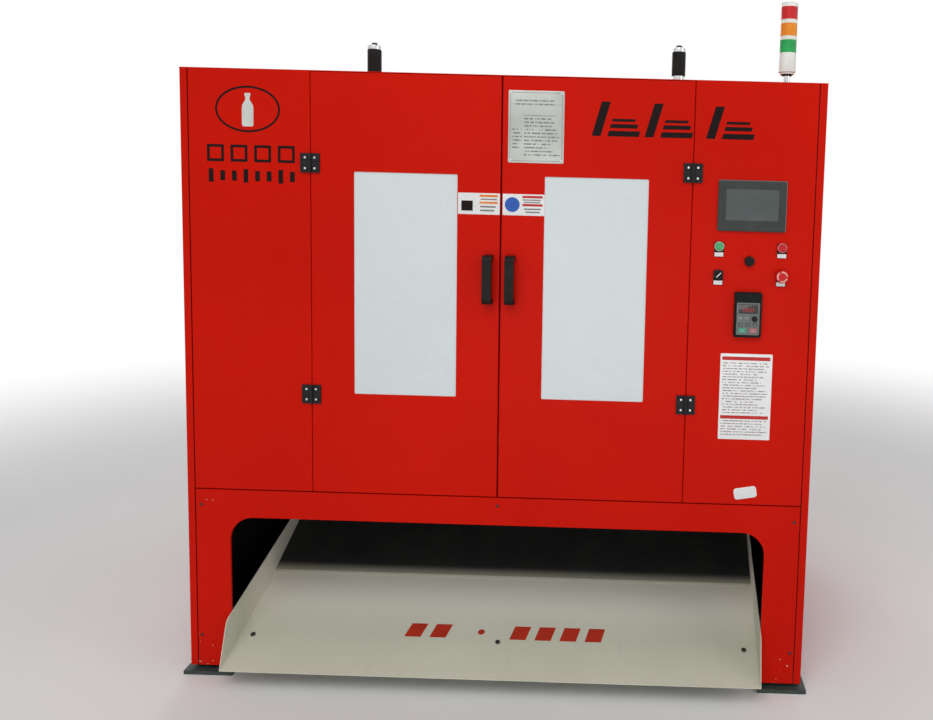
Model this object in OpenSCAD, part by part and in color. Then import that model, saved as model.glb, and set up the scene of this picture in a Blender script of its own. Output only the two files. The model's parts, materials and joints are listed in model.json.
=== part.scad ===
// Automatic stretch blow moulding machine in a floor-standing sheet metal cabinet.
// Millimetres, +Z up. The front faces -Y, and +X is to the right of a person facing it.
// The origin lies on the floor at the centre of the four anchor holes.

/* [Cabinet] */
// Width over the side panels
body_w = 1900; // [1800:10:2100]
// Depth over the front and rear panels
body_d = 1100; // [1060:10:1300]
// Height of the roof above the floor
body_h = 1859; // [1840:1:2000]
// Thickness of the folded sheet
sheet_t = 2; // [1.5:0.5:2.5]
// Outer radius of a bend in the sheet
bend_r = 3; // [3:0.5:6]
// Depth of a folded panel or door
pan_d = 25; // [22:1:32]
// Width of the lip turned in at the back of a panel
pan_lip = 14; // [8:1:18]
// Gap between the two doors, and between the doors and the apron
panel_gap = 4; // [3:0.5:6]
// Gap beside a door at its hinges
hinge_gap = 1.5; // [1:0.25:3]
// Gap between a door and the roof
top_gap = 1.5; // [1:0.25:4]
// Gap behind a closed door, where its seal lies
seal_gap = 2; // [1:0.5:4]
// Thickness of the roof sheet
roof_t = 2.5; // [2:0.5:4]
// Width of the side panels' strip that shows at the front
strip_w = 22; // [18:1:30]
// Gap between that strip and the front panels
strip_gap = 2; // [1:0.5:4]
// Height of the seam between the doors and the apron
seam_z = 590; // [570:5:620]
// Distance of the hinge seams from the middle
hinge_seam_x = 565; // [545:5:600]
// Gap between the cladding and the foot plates
cladding_clear = 12; // [8:1:20]

/* [Frame] */
// Width of the square tube
tube_w = 60; // [50:5:70]
// Wall of the square tube
tube_t = 4; // [3:0.5:6]
// Side length of a foot plate
foot_w = 150; // [130:5:180]
// Thickness of a foot plate
foot_t = 12; // [10:1:20]
// How far a foot plate stands out beyond the cladding
foot_out = 15; // [10:1:30]
// Distance of an anchor hole from its foot plate's inner edges
anchor_in = 30; // [25:1:36]
// Diameter of an anchor hole
anchor_d = 18; // [12:1:22]
// Thickness of the deck that carries the mechanism
deck_t = 12; // [8:1:20]
// Width of the opening in the deck that the bottles drop through
drop_w = 300; // [260:10:360]
// Depth of that opening
drop_d = 320; // [280:10:340]

/* [Apron and chute] */
// Width of the arched opening in the apron
arch_w = 1642; // [1640:2:1660]
// Height of the top of the arch
arch_z = 502; // [470:2:510]
// Radius of the arch's corners
arch_r = 72; // [50:2:90]
// Depth of the lip turned in round the arch
arch_lip = 8; // [4:1:20]
// Outer width of the bottle chute at its front lip
chute_w = 1626; // [1580:2:1628]
// Angle by which each wall of the chute spreads towards the rear
flare_deg = 3.6; // [1:0.1:3.8]
// Height of the chute's front lip
lip_z = 63; // [60:1:75]
// How far the lip stands out in front of the apron
lip_out = 92; // [70:2:130]
// Distance from the apron to the bend in the chute's floor
bend_in = 331; // [300:5:360]
// Slope of the chute's front floor
floor_deg = 13.3; // [12.5:0.1:15]
// Distance from the apron to the chute's rear edge
chute_in = 690; // [660:5:720]
// Slope of the chute's landing part
landing_deg = 20; // [16:0.5:24]
// Height of the chute's walls at the front corner
wall_h = 118; // [90:2:125]
// How far the walls' front edge leans back
wall_lean = 53; // [30:1:70]
// Slope of the walls' upper edge
wall_deg = 11.1; // [8:0.1:13]
// Radius of the walls' front corner
wall_r = 34; // [20:2:45]
// Thickness of the landing mat
mat_t = 8; // [5:1:12]
// Distance from the apron to the row of chute bolts
chute_bolt_in = 48; // [44:1:60]
// Distance of the outer chute bolts from the ends of the lip
chute_bolt_side = 35; // [27:1:60]
// Diameter of a chute bolt's hole
chute_bolt_d = 9; // [6:0.5:11]

/* [Doors] */
// Width of a window
window_w = 307; // [280:1:340]
// Height of a window
window_h = 668; // [600:2:720]
// Height of a window's lower edge
window_z = 899; // [860:1:930]
// Distance of a window from the middle
window_in = 129; // [110:1:150]
// Thickness of a window pane
pane_t = 5; // [4:0.5:8]
// How far a pane laps behind the door's sheet
pane_lap = 14; // [10:1:20]
// Length of a door handle
handle_l = 145; // [120:1:170]
// Width of a door handle
handle_w = 27; // [20:1:32]
// How far a handle stands out from the door
handle_out = 42; // [36:1:60]
// Thickness of a handle's grip
grip_t = 13; // [10:0.5:16]
// Distance of a handle from the middle
handle_x = 33; // [24:1:45]
// Height of a handle's middle
handle_z = 1259; // [1200:1:1320]

/* [Hinges] */
// Height and full width of a hinge
hinge_h = 57; // [50:1:70]
// Thickness of a hinge leaf
leaf_t = 4.5; // [3.5:0.5:5]
// Outer radius of a knuckle
knuckle_r = 5.5; // [5:0.25:6.5]
// Radius of a hinge pin
pin_r = 2.5; // [2:0.25:3]
// Height of each end knuckle
end_knuckle = 16; // [13:0.5:18]
// Height of the upper hinges' middle
hinge_upper_z = 1589; // [1500:1:1650]
// Height of the lower hinges' middle
hinge_lower_z = 895; // [820:1:960]

/* [Operator controls] */
// Width of the operator screen's bezel
hmi_w = 202; // [190:1:230]
// Height of the bezel
hmi_h = 150; // [140:1:160]
// How far the bezel stands out
hmi_t = 7; // [5:0.5:10]
// Distance of the bezel's middle to the right of the panel's middle
hmi_dx = -3.5; // [-10:0.5:10]
// Height of the bezel's middle
hmi_z = 1497; // [1480:1:1540]
// Width of the glass
glass_w = 155; // [140:1:160]
// Height of the glass
glass_h = 92; // [85:1:105]
// How far the glass lies above the bezel's middle
glass_up = 3; // [0:0.5:8]
// Distance of the left column of switches to the right of the panel's middle
switch_left_dx = -96.5; // [-100:0.5:-85]
// Distance of the right column of switches to the right of the panel's middle
switch_right_dx = 89.5; // [80:0.5:100]
// Upper row of switches
switch_upper_z = 1376; // [1366:1:1390]
// Lower row of switches
switch_lower_z = 1292; // [1284:1:1310]
// Radius of a switch's hole in the panel
switch_hole_r = 11.2; // [11:0.1:12]
// Radius of a switch collar's flange
collar_r = 14.75; // [14:0.25:16]
// Height of a switch collar above the panel
collar_h = 9; // [8:0.5:12]
// Travel of a push button
push_travel = 4; // [2:0.5:4.5]
// Radius of the emergency stop's mushroom head
mushroom_r = 19; // [16:0.5:22]
// Travel of the emergency stop
estop_travel = 5; // [3:0.5:6]
// Distance of the buzzer to the right of the panel's middle
buzzer_dx = -5.5; // [-10:0.5:5]
// Height of the buzzer's middle
buzzer_z = 1334; // [1325:1:1345]

/* [Drive unit] */
// Width of the speed drive's housing
drive_w = 81; // [79:1:95]
// Height of the housing
drive_h = 134; // [128:1:140]
// How far the housing stands out from the panel
drive_out = 18; // [14:1:26]
// Distance of the housing's middle to the right of the panel's middle
drive_dx = -5.5; // [-10:0.5:10]
// Height of the housing's middle
drive_z = 1175; // [1160:1:1180]
// Width of the keypad
pad_w = 68; // [64:1:70]
// Height of the keypad
pad_h = 96; // [94:1:102]
// Gap between the keypad and the housing's lower edge
pad_up = 8; // [5:1:12]
// Thickness of the keypad
pad_t = 6; // [5:0.5:8]
// Travel of a key
key_travel = 0.8; // [0.5:0.1:1]
// Radius of the speed knob
dial_r = 8; // [7:0.5:9]

/* [Roof fittings] */
// Outer radius of an exhaust silencer
silencer_r = 21; // [18:1:26]
// Height of a silencer's black body
silencer_h = 72; // [55:1:80]
// Distance of the silencers from the front
silencer_in = 120; // [100:5:160]
// Horizontal place of the left silencer
silencer_left_x = -415; // [-440:1:-380]
// Horizontal place of the right silencer
silencer_right_x = 518; // [500:1:540]
// Height of the left silencer's base above the roof
base_left_h = 12; // [4:1:20]
// Height of the right silencer's base above the roof
base_right_h = 27; // [4:1:32]
// Outer radius of the light tower
tower_r = 25; // [20:1:30]
// Distance of the light tower from the front
tower_in = 60; // [55:1:80]
// Distance of the light tower from the cabinet's side
tower_side = 112; // [100:1:150]
// Length of the pole above the roof
pole_h = 31; // [25:1:60]
// Radius of the pole
pole_r = 10.5; // [8:0.5:12]
// Height of one lens
lens_h = 37; // [32:1:45]
// Height of the white ring between two lenses
ring_h = 11; // [8:1:14]
// Height of the tower's lower housing
tower_body_h = 56; // [50:1:70]
// Height of the tower's cap
tower_cap_h = 13; // [10:1:18]

/* [Mould clamp] */
// Distance of the clamp's middle behind the cabinet's middle
clamp_y = -160; // [-175:5:-150]
// Height of the clamp's middle
clamp_z = 1010; // [1000:5:1040]
// Width of a clamp plate along Y
plate_w = 400; // [390:5:430]
// Height of a moving platen
platen_h = 480; // [460:5:500]
// Distance of an end plate's inner face from the middle
end_plate_x = 470; // [450:5:500]
// Thickness of an end plate
end_plate_t = 40; // [30:2:50]
// Thickness of a moving platen
platen_t = 40; // [30:2:50]
// Radius of a tie bar
tie_r = 25; // [20:1:28]
// Distance of the tie bars from the clamp's middle along Y
tie_y = 155; // [150:5:170]
// Distance of the tie bars from the clamp's middle along Z
tie_z = 195; // [190:5:210]
// Thickness of a mould half
mould_t = 90; // [80:2:110]
// Width of a mould half along Y
mould_w = 240; // [230:5:250]
// Height of a mould half
mould_h = 320; // [310:5:340]
// Gap between the two moulds on a platen
mould_seam = 1; // [0.5:0.5:3]
// Opening travel of each mould half
open_travel = 120; // [100:5:140]
// Radius of a clamp cylinder's rod
clamp_rod_r = 25; // [20:1:30]
// Inner radius of a clamp cylinder
clamp_bore_r = 50; // [45:1:60]
// Thickness of a clamp piston
clamp_piston_t = 30; // [20:1:40]
// Room before and behind a clamp piston at the ends of its travel
clamp_end_room = 17.5; // [5:0.5:20]

/* [Bottle] */
// Radius of a blown bottle
bottle_r = 38; // [30:1:42]
// Distance of each cavity from the clamp's middle along Y
cavity_y = 60; // [55:1:62]
// Height of a bottle below its shoulder
bottle_h = 170; // [150:5:180]
// Radius of a bottle's neck below its ring
neck_r = 13; // [12:0.5:16]
// Thickness of the mould below a cavity
cavity_floor = 30; // [24:1:40]

/* [Blowing head] */
// Height of the bridge's underside above the platens
bridge_rise = 450; // [440:5:480]
// Thickness of the bridge
bridge_t = 30; // [20:2:36]
// Radius of a guide rod
guide_r = 15; // [12:1:18]
// Distance of the guide rods from the clamp's middle
guide_y = 130; // [120:5:135]
// Gap between the nozzles and the mould with the head raised
nozzle_gap = 45; // [30:1:50]
// Length of a nozzle below its carriage
nozzle_l = 85; // [70:1:95]
// Radius of a nozzle
nozzle_r = 20; // [18:1:24]
// Thickness of a head carriage
carriage_t = 25; // [18:1:30]
// Radius of a stretch rod
stretch_r = 6; // [5:0.5:8]
// Travel of the stretch rods
stretch_travel = 280; // [240:5:290]

/* [Oven] */
// Length of the oven
oven_l = 840; // [760:10:880]
// Height of the oven's inside
oven_h = 250; // [220:5:280]
// Width of the tunnel between the oven's walls
tunnel_w = 130; // [110:5:150]
// Thickness of an oven wall
oven_wall_t = 20; // [12:1:30]
// Distance of the tunnel behind the cabinet's middle
oven_y = 240; // [230:5:260]
// Height of the oven's floor
oven_z = 1120; // [1100:10:1150]
// Number of lamps one above the other
lamp_count = 6; // [4:1:7]
// Radius of a lamp
lamp_r = 5.5; // [4:0.5:7]

/* [Rear ports] */
// Radius of the air port
air_port_r = 17.5; // [12:0.5:22]
// Radius of the mains cable port
cable_port_r = 25.5; // [16:0.5:32]
// Distance between the two ports
port_pitch = 160; // [120:5:200]

/* [Hidden] */
$fn = 48;

// Margin by which a cut runs past the face it cuts
cut = 1;
// Gap between pieces of different bodies at rest
body_gap = 0.3;
// Radial clearance of a running fit
run_fit = 0.05;
// Play of a button in its collar
button_play = 0.3;

// Planes of the cabinet
front_y = -body_d / 2;
rear_y = body_d / 2;
frame_front_y = front_y + pan_d;
cladding_z = foot_t + cladding_clear;
roof_under_z = body_h - roof_t;
panel_end_x = body_w / 2 - strip_w - strip_gap;
door_bottom_z = seam_z + panel_gap / 2;
apron_top_z = seam_z - panel_gap / 2;
door_top_z = roof_under_z - top_gap;

// Places on the control panel
panel_mid_x = (hinge_seam_x + panel_end_x) / 2;
hmi_x = panel_mid_x + hmi_dx;
switch_left_x = panel_mid_x + switch_left_dx;
switch_right_x = panel_mid_x + switch_right_dx;
buzzer_x = panel_mid_x + buzzer_dx;
drive_x = panel_mid_x + drive_dx;

// Places of the frame tubes' middles
post_x = body_w / 2 - sheet_t - tube_w / 2;
post_y = -frame_front_y - tube_w / 2;
base_rail_z = foot_t;
mid_rail_z = apron_top_z - tube_w;
top_rail_z = roof_under_z - tube_w;
cross_l = 2 * post_x - tube_w;
side_l = 2 * post_y - tube_w;
hanger_rail_y = front_y + chute_in + tube_w / 2;

// Deck and clamp levels
deck_top_z = apron_top_z + deck_t;
platen_top_z = clamp_z + platen_h / 2;
mould_top_z = clamp_z + mould_h / 2;
parting = body_gap / 2;
platen_x = mould_t;
bridge_z = platen_top_z + bridge_rise;
end_plate_back = end_plate_x + end_plate_t;
clamp_bore_l = open_travel + clamp_piston_t + 2 * clamp_end_room;
barrel_wall = 8;
barrel_r = clamp_bore_r + barrel_wall;
flange_out = 7;
flange_half = barrel_r + flange_out;
foot_arch_h = 90;
foot_arch_r = 30;
tie_nut_w = 22;
tie_nut_out = 16;
tie_nut_r = tie_r + tie_nut_out;
tie_end_l = 6;
guide_clear = 10;
guide_z = clamp_z + tie_z + tie_r + guide_clear;

// Head levels, with both carriages raised
nozzle_z = mould_top_z + nozzle_gap;
blow_carriage_z = nozzle_z + nozzle_l;
blow_cylinder_r = 31.5;
blow_bore_r = 25;
blow_cylinder_x = 80;
blow_cylinder_l = 100;
blow_piston_t = 12;
blow_cap_t = 10;
blow_rod_r = 10;
blow_piston_room = 3;
spacer_r = 20;
head_room = 25;
stretch_room = 30;
side_clear = 10;
carriage_edge = 10;
carriage_end = 20;
rod_tip_in = 8;
blow_cylinder_z = blow_carriage_z + carriage_t + nozzle_gap + head_room;
stretch_carriage_z = blow_carriage_z + carriage_t + stretch_travel + stretch_room;
stretch_carriage_w = 2 * (blow_cylinder_x - blow_cylinder_r - side_clear);
carriage_half_d = guide_y + guide_r + carriage_edge;
slide_unit_w = 60;
slide_unit_gap = 50;
slide_unit_y = clamp_y + guide_y + guide_r + slide_unit_gap;
bridge_edge = 15;
bridge_front_y = clamp_y - guide_y - guide_r - bridge_edge;
bridge_rear_y = slide_unit_y + slide_unit_w / 2;

// Chute heights along Y, measured from the apron's front face
function floor_z(y) = y <= bend_in
    ? lip_z + (y + lip_out) * tan(floor_deg)
    : lip_z + (bend_in + lip_out) * tan(floor_deg) + (y - bend_in) * tan(landing_deg);
wall_front = -lip_out + wall_lean;
function wall_z(y) = floor_z(wall_front) + wall_h + (y - wall_front) * tan(wall_deg);
function chute_half(y) = chute_w / 2 + (y + lip_out) * tan(flare_deg);
chute_bolt_x = chute_w / 2 - chute_bolt_side;

// Round front corner of a chute wall: the directions of its two edges, and its arc's middle
wall_corner = [wall_front, wall_z(wall_front)];
wall_edge = wall_corner - [-lip_out, lip_z];
wall_down = -wall_edge / norm(wall_edge);
wall_along = [cos(wall_deg), sin(wall_deg)];
wall_half_deg = acos(wall_down * wall_along) / 2;
wall_tangent = wall_r / tan(wall_half_deg);
wall_bisector = wall_down + wall_along;
wall_arc = wall_corner + wall_bisector / norm(wall_bisector) * wall_r / sin(wall_half_deg);

// Hinge axis and the knuckles along it, each as [lower end, height]
pin_y = front_y - knuckle_r - 0.5;
leaf_in = knuckle_r + 0.5;
end_knuckles = [[-hinge_h / 2, end_knuckle], [hinge_h / 2 - end_knuckle, end_knuckle]];
mid_knuckle = [[-hinge_h / 2 + end_knuckle + body_gap, hinge_h - 2 * end_knuckle - 2 * body_gap]];

// Roof fittings: silencer ends and the levels of the light tower
nipple_r = 13;
nipple_wall = 3;
nut_r = 20;
nut_h = 10;
silencer_base_in = 3;
silencer_edge_r = 2;
silencer_cap_h = 13;
silencer_cap_in = 1;
silencer_cap_r = 4;
silencer_stud_h = 7;
silencer_stud_r = 9;
inner_pipe_h = 40;
skirt_h = 6;
column_r = 9;
lens_wall = 2.5;
pole_wall = 2;
skirt_in = 4;
tower_cap_r = 3;
tower_x = body_w / 2 - tower_side;
tower_z = body_h + pole_h;
green_z = tower_z + skirt_h + tower_body_h;
amber_z = green_z + lens_h + ring_h;
red_z = amber_z + lens_h + ring_h;
tower_top_z = red_z + lens_h;

// Depth of the screen's and the drive's cases behind the panel
hmi_depth = 38;
hmi_case_in = 8;
bezel_step = 2.5;
bezel_rim = 2;
glass_t = 1.5;
glass_sunk = 0.5;
drive_depth = 60;
drive_case_in = 5;
drive_step = 3;
// Play between a cut-out in the control panel and what passes through it
hole_play = 1;

// Depth of the space that the lamps take behind the tunnel
lamp_bay = 40;
oven_leg_w = 40;

// Place of the ports in the right-hand rear panel
port_x = 500;
port_z = 760;

// Switch measures in front of the panel
recess_floor = 2;
button_r = collar_r - 3.4;
stem_r = 8;
stem_back = 16;
collar_back = 22;
collar_nut_h = 6;
collar_nut_out = 4;
edge_r = 2;
head_back = recess_floor + push_travel + body_gap;

// Keypad measures
pad_z = drive_z - drive_h / 2 + pad_up + pad_h / 2;
pad_top_z = pad_z + pad_h / 2;
pad_face_y = front_y - drive_out - 1.5;
display_w = 57;
display_h = 28;
display_drop = 18;
dial_dx = 19;
dial_drop = 47.5;
dial_shaft_r = 3;
pad_back = 1.5;
small_key_w = 12.5;
small_key_h = 9.5;
small_key_drop = 65.5;
small_key_dx = 21;
large_key_w = 21;
large_key_h = 15;
large_key_drop = 82.5;
large_key_dx = 16;
key_out = 1.4;
key_play = 0.35;

// Basic shapes

// Rectangle from the origin with all corners round
module round_rect(w, h, r) {
    translate([r, 0]) square([w - 2 * r, h]);
    translate([0, r]) square([w, h - 2 * r]);
    for (x = [r, w - r], y = [r, h - r])
        translate([x, y]) circle(r);
}

// Rectangle from the origin whose two corners at y = 0 are round
module round_front(w, d, r) {
    translate([r, 0]) square([w - 2 * r, d]);
    translate([0, r]) square([w, d - r]);
    for (x = [r, w - r])
        translate([x, r]) circle(r);
}

// Upright plate, middle at x and z, from y0 to y1, with round corners
module upright(x, z, w, h, r, y0, y1) {
    translate([x - w / 2, y1, z - h / 2])
        rotate([90, 0, 0]) linear_extrude(y1 - y0) round_rect(w, h, r);
}

// Round bar along Y from y0 to y1
module bar_y(x, z, r, y0, y1) {
    translate([x, y1, z]) rotate([90, 0, 0]) cylinder(h = y1 - y0, r = r);
}

// Round bar along X from x0 to x1
module bar_x(y, z, r, x0, x1) {
    translate([x0, y, z]) rotate([0, 90, 0]) cylinder(h = x1 - x0, r = r);
}

// Square tube along Z, standing on z = 0
module tube(l) {
    linear_extrude(l) difference() {
        square(tube_w, center = true);
        square(tube_w - 2 * tube_t, center = true);
    }
}

// Folded sheet pan: front face at y = 0, edges folded back by d, lips turned in
module pan(w, h, d) {
    linear_extrude(h) difference() {
        round_front(w, d, bend_r);
        translate([sheet_t, sheet_t])
            round_front(w - 2 * sheet_t, d - 2 * sheet_t, bend_r - sheet_t);
        translate([pan_lip, d - sheet_t - cut]) square([w - 2 * pan_lip, sheet_t + 2 * cut]);
    }
    for (z = [0, h - sheet_t])
        translate([0, 0, z]) linear_extrude(sheet_t) round_front(w, d, bend_r);
}

// Copies its children to the left and the right
module both_sides() {
    children();
    mirror([1, 0, 0]) children();
}

// Frame

module foot_plates() {
    color("#16211f")
    for (mx = [0, 1], my = [0, 1])
        mirror([mx, 0, 0]) mirror([0, my, 0])
            translate([body_w / 2 + foot_out - foot_w, body_d / 2 + foot_out - foot_w, 0])
                difference() {
                    cube([foot_w, foot_w, foot_t]);
                    translate([anchor_in, anchor_in, -cut])
                        cylinder(h = foot_t + 2 * cut, d = anchor_d);
                }
}

module frame_posts() {
    color("#2b2d2e") {
        for (sx = [-1, 1], sy = [-1, 1])
            translate([sx * post_x, sy * post_y, foot_t]) tube(roof_under_z - foot_t);
        for (sx = [-1, 1])
            translate([sx * hinge_seam_x, -post_y, mid_rail_z + tube_w])
                tube(top_rail_z - mid_rail_z - tube_w);
    }
}

// One rail along X between the side posts, z is its underside
module cross_rail(y, z) {
    translate([-cross_l / 2, y, z + tube_w / 2]) rotate([0, 90, 0]) tube(cross_l);
}

// Tab on the front base rail that carries one chute bolt
module chute_tab(x) {
    tab_w = 40;
    tab_y = front_y + chute_bolt_in;
    difference() {
        translate([x - tab_w / 2, tab_y - tab_w / 2, base_rail_z + tube_w])
            cube([tab_w, tab_w, floor_z(chute_bolt_in) - base_rail_z - tube_w]);
        chute_floor_space();
        translate([x, tab_y, base_rail_z + tube_w + cut])
            cylinder(h = wall_h, d = chute_bolt_d);
    }
}

module frame_cross_rails() {
    color("#2b2d2e") {
        for (sy = [-1, 1], z = [base_rail_z, mid_rail_z, top_rail_z])
            cross_rail(sy * post_y, z);
        cross_rail(hanger_rail_y, mid_rail_z);
        for (x = [-chute_bolt_x, 0, chute_bolt_x])
            chute_tab(x);
    }
}

module frame_side_rails() {
    color("#2b2d2e")
    for (sx = [-1, 1], z = [base_rail_z, mid_rail_z, top_rail_z])
        translate([sx * post_x, -side_l / 2, z + tube_w / 2])
            rotate([-90, 0, 0]) tube(side_l);
}

module deck_plate() {
    deck_w = 2 * post_x;
    color("#8a8f92")
    difference() {
        translate([-deck_w / 2, -side_l / 2, apron_top_z]) cube([deck_w, side_l, deck_t]);
        translate([-drop_w / 2, clamp_y - drop_d / 2, apron_top_z - cut])
            linear_extrude(deck_t + 2 * cut) round_rect(drop_w, drop_d, 20);
    }
}

// Cladding

// Side panel: one sheet with its front and rear edges folded in
module side_panel() {
    panel_h = roof_under_z - cladding_z;
    translate([body_w / 2 - strip_w, front_y, cladding_z])
        linear_extrude(panel_h) difference() {
            side_outline(0);
            side_outline(sheet_t);
        }
}

// Outline of the side panel seen from above, shrunk by t on its closed sides
module side_outline(t) {
    w = strip_w - t + (t > 0 ? cut : 0);
    x = t > 0 ? -cut : 0;
    r = bend_r - t;
    translate([x, t + r]) square([w, body_d - 2 * t - 2 * r]);
    translate([x, t]) square([w - r, body_d - 2 * t]);
    for (y = [t + r, body_d - t - r])
        translate([x + w - r, y]) circle(r);
}

module left_side_panel() {
    color("#c8170d") mirror([1, 0, 0]) side_panel();
}

module right_side_panel() {
    color("#c8170d") side_panel();
}

module roof_panel() {
    color("#c8170d")
    difference() {
        translate([-body_w / 2, -body_d / 2, roof_under_z]) cube([body_w, body_d, roof_t]);
        for (x = [silencer_left_x, silencer_right_x])
            translate([x, front_y + silencer_in, roof_under_z - cut])
                cylinder(h = roof_t + 2 * cut, r = nipple_r + run_fit);
        translate([tower_x, front_y + tower_in, roof_under_z - cut])
            cylinder(h = roof_t + 2 * cut, r = pole_r + run_fit);
    }
}

// One rear panel with its field of air slots
module rear_panel() {
    slot_w = 180;
    slot_h = 8;
    slot_pitch = 24;
    slot_count = 8;
    w = panel_end_x - strip_gap / 2;
    h = roof_under_z - cladding_z - top_gap;
    difference() {
        translate([panel_end_x, rear_y, cladding_z]) rotate([0, 0, 180]) pan(w, h, pan_d);
        for (i = [0 : slot_count - 1], sx = [-1, 1])
            translate([
                strip_gap / 2 + w / 2 + sx * (slot_w + slot_pitch) / 2 - slot_w / 2,
                rear_y - sheet_t - cut,
                oven_z + i * slot_pitch
            ])
                cube([slot_w, sheet_t + 2 * cut, slot_h]);
    }
}

module rear_panels() {
    color("#c8170d")
    difference() {
        both_sides() rear_panel();
        bar_y(port_x, port_z, air_port_r, rear_y - sheet_t - cut, rear_y + cut);
        bar_y(port_x + port_pitch, port_z, cable_port_r, rear_y - sheet_t - cut, rear_y + cut);
    }
}

// Fixed front panel between the hinge seam and the side strip, on the +X side
module side_front_panel() {
    seam_half = hinge_gap / 2;
    translate([hinge_seam_x + seam_half, front_y, door_bottom_z])
        pan(panel_end_x - hinge_seam_x - seam_half, roof_under_z - door_bottom_z, pan_d);
}

module left_front_panel() {
    color("#c8170d") mirror([1, 0, 0]) side_front_panel();
}

module control_panel() {
    y0 = front_y - cut;
    y1 = front_y + sheet_t + cut;
    color("#c8170d")
    difference() {
        side_front_panel();
        upright(hmi_x, hmi_z, hmi_w - 2 * hmi_case_in + hole_play,
            hmi_h - 2 * hmi_case_in + hole_play, 3, y0, y1);
        for (x = [switch_left_x, switch_right_x], z = [switch_upper_z, switch_lower_z])
            bar_y(x, z, switch_hole_r + run_fit, y0, y1);
        bar_y(buzzer_x, buzzer_z, switch_hole_r + run_fit, y0, y1);
        upright(drive_x, drive_z, drive_w - 2 * drive_case_in + hole_play,
            drive_h - 2 * drive_case_in + hole_play, 3, y0, y1);
    }
}

// Arched opening, grown by g, seen from the front, from z = 0 upwards
module arch(g) {
    translate([-arch_w / 2 - g, -arch_z])
        round_rect(arch_w + 2 * g, 2 * arch_z + g, arch_r + g);
}

module front_apron() {
    h = apron_top_z - cladding_z;
    color("#c8170d")
    difference() {
        union() {
            translate([-panel_end_x, front_y, cladding_z]) linear_extrude(h) difference() {
                round_front(2 * panel_end_x, pan_d, bend_r);
                translate([sheet_t, sheet_t])
                    round_front(2 * (panel_end_x - sheet_t), pan_d, bend_r - sheet_t);
            }
            translate([-panel_end_x, front_y, apron_top_z - sheet_t])
                linear_extrude(sheet_t) round_front(2 * panel_end_x, pan_d, bend_r);
            translate([0, front_y + arch_lip, 0]) rotate([90, 0, 0])
                linear_extrude(arch_lip) intersection() {
                    arch(sheet_t);
                    translate([-body_w / 2, cladding_z]) square([body_w, h]);
                }
        }
        translate([0, front_y + pan_d + cut, 0]) rotate([90, 0, 0])
            linear_extrude(pan_d + 2 * cut) arch(0);
    }
}

// Bottle chute

// Extrudes a side view, drawn with x as depth behind the apron, over the cabinet's width
module across() {
    translate([-body_w / 2, front_y, 0]) rotate([90, 0, 90]) linear_extrude(body_w) children();
}

// Space taken by the chute's floor and everything above it
module chute_floor_space() {
    across() polygon([
        [-lip_out, floor_z(-lip_out)],
        [-lip_out, body_h],
        [chute_in, body_h],
        [chute_in, floor_z(chute_in)],
        [bend_in, floor_z(bend_in)]
    ]);
}

// Floor strip of thickness t above height offset up, seen from the side
module floor_profile(y0, up, t) {
    n0 = floor_z(y0) + up;
    nb = floor_z(bend_in) + up;
    n1 = floor_z(chute_in) + up;
    if (y0 < bend_in)
        polygon([
            [y0, n0], [bend_in, nb], [chute_in, n1],
            [chute_in, n1 + t], [bend_in, nb + t], [y0, n0 + t]
        ]);
    else
        polygon([[y0, n0], [chute_in, n1], [chute_in, n1 + t], [y0, n0 + t]]);
}

// Side wall seen from the side, with its round front corner and its rear hanger
module wall_profile() {
    hanger_w = 60;
    rear_wall_z = wall_z(chute_in - hanger_w);
    polygon([
        [-lip_out, floor_z(-lip_out)],
        wall_corner + wall_tangent * wall_down,
        wall_corner + wall_tangent * wall_along,
        [chute_in - hanger_w, rear_wall_z],
        [chute_in - hanger_w, mid_rail_z + tube_w],
        [chute_in, mid_rail_z + tube_w],
        [chute_in, floor_z(chute_in)],
        [bend_in, floor_z(bend_in)]
    ]);
    translate(wall_arc) circle(wall_r);
}

// Column over the chute's outline seen from above, t inside its walls
module chute_column(t) {
    front = -lip_out - (t > 0 ? cut : 0);
    rear = chute_in + (t > 0 ? cut : 0);
    linear_extrude(body_h) translate([0, front_y]) polygon([
        [t - chute_half(front), front], [chute_half(front) - t, front],
        [chute_half(rear) - t, rear], [t - chute_half(rear), rear]
    ]);
}

module chute_tray() {
    color("#b2af9e")
    difference() {
        union() {
            intersection() {
                across() floor_profile(-lip_out, 0, sheet_t);
                chute_column(0);
            }
            intersection() {
                across() wall_profile();
                difference() {
                    chute_column(0);
                    chute_column(sheet_t);
                }
            }
        }
        for (x = [-chute_bolt_x, 0, chute_bolt_x])
            translate([x, front_y + chute_bolt_in, base_rail_z])
                cylinder(h = wall_h + tube_w, d = chute_bolt_d);
    }
}

module chute_mat() {
    color("#1c1f1c")
    intersection() {
        across() floor_profile(bend_in, sheet_t, mat_t);
        chute_column(sheet_t);
    }
}

// Roof fittings

// One silencer's body on the base height h
module silencer_body(x, h) {
    translate([x, front_y + silencer_in, body_h + h]) {
        rotate_extrude() {
            square([silencer_r - silencer_edge_r, silencer_h]);
            translate([0, silencer_edge_r]) square([silencer_r, silencer_h - 2 * silencer_edge_r]);
            for (z = [silencer_edge_r, silencer_h - silencer_edge_r])
                translate([silencer_r - silencer_edge_r, z]) circle(silencer_edge_r);
        }
    }
}

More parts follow.
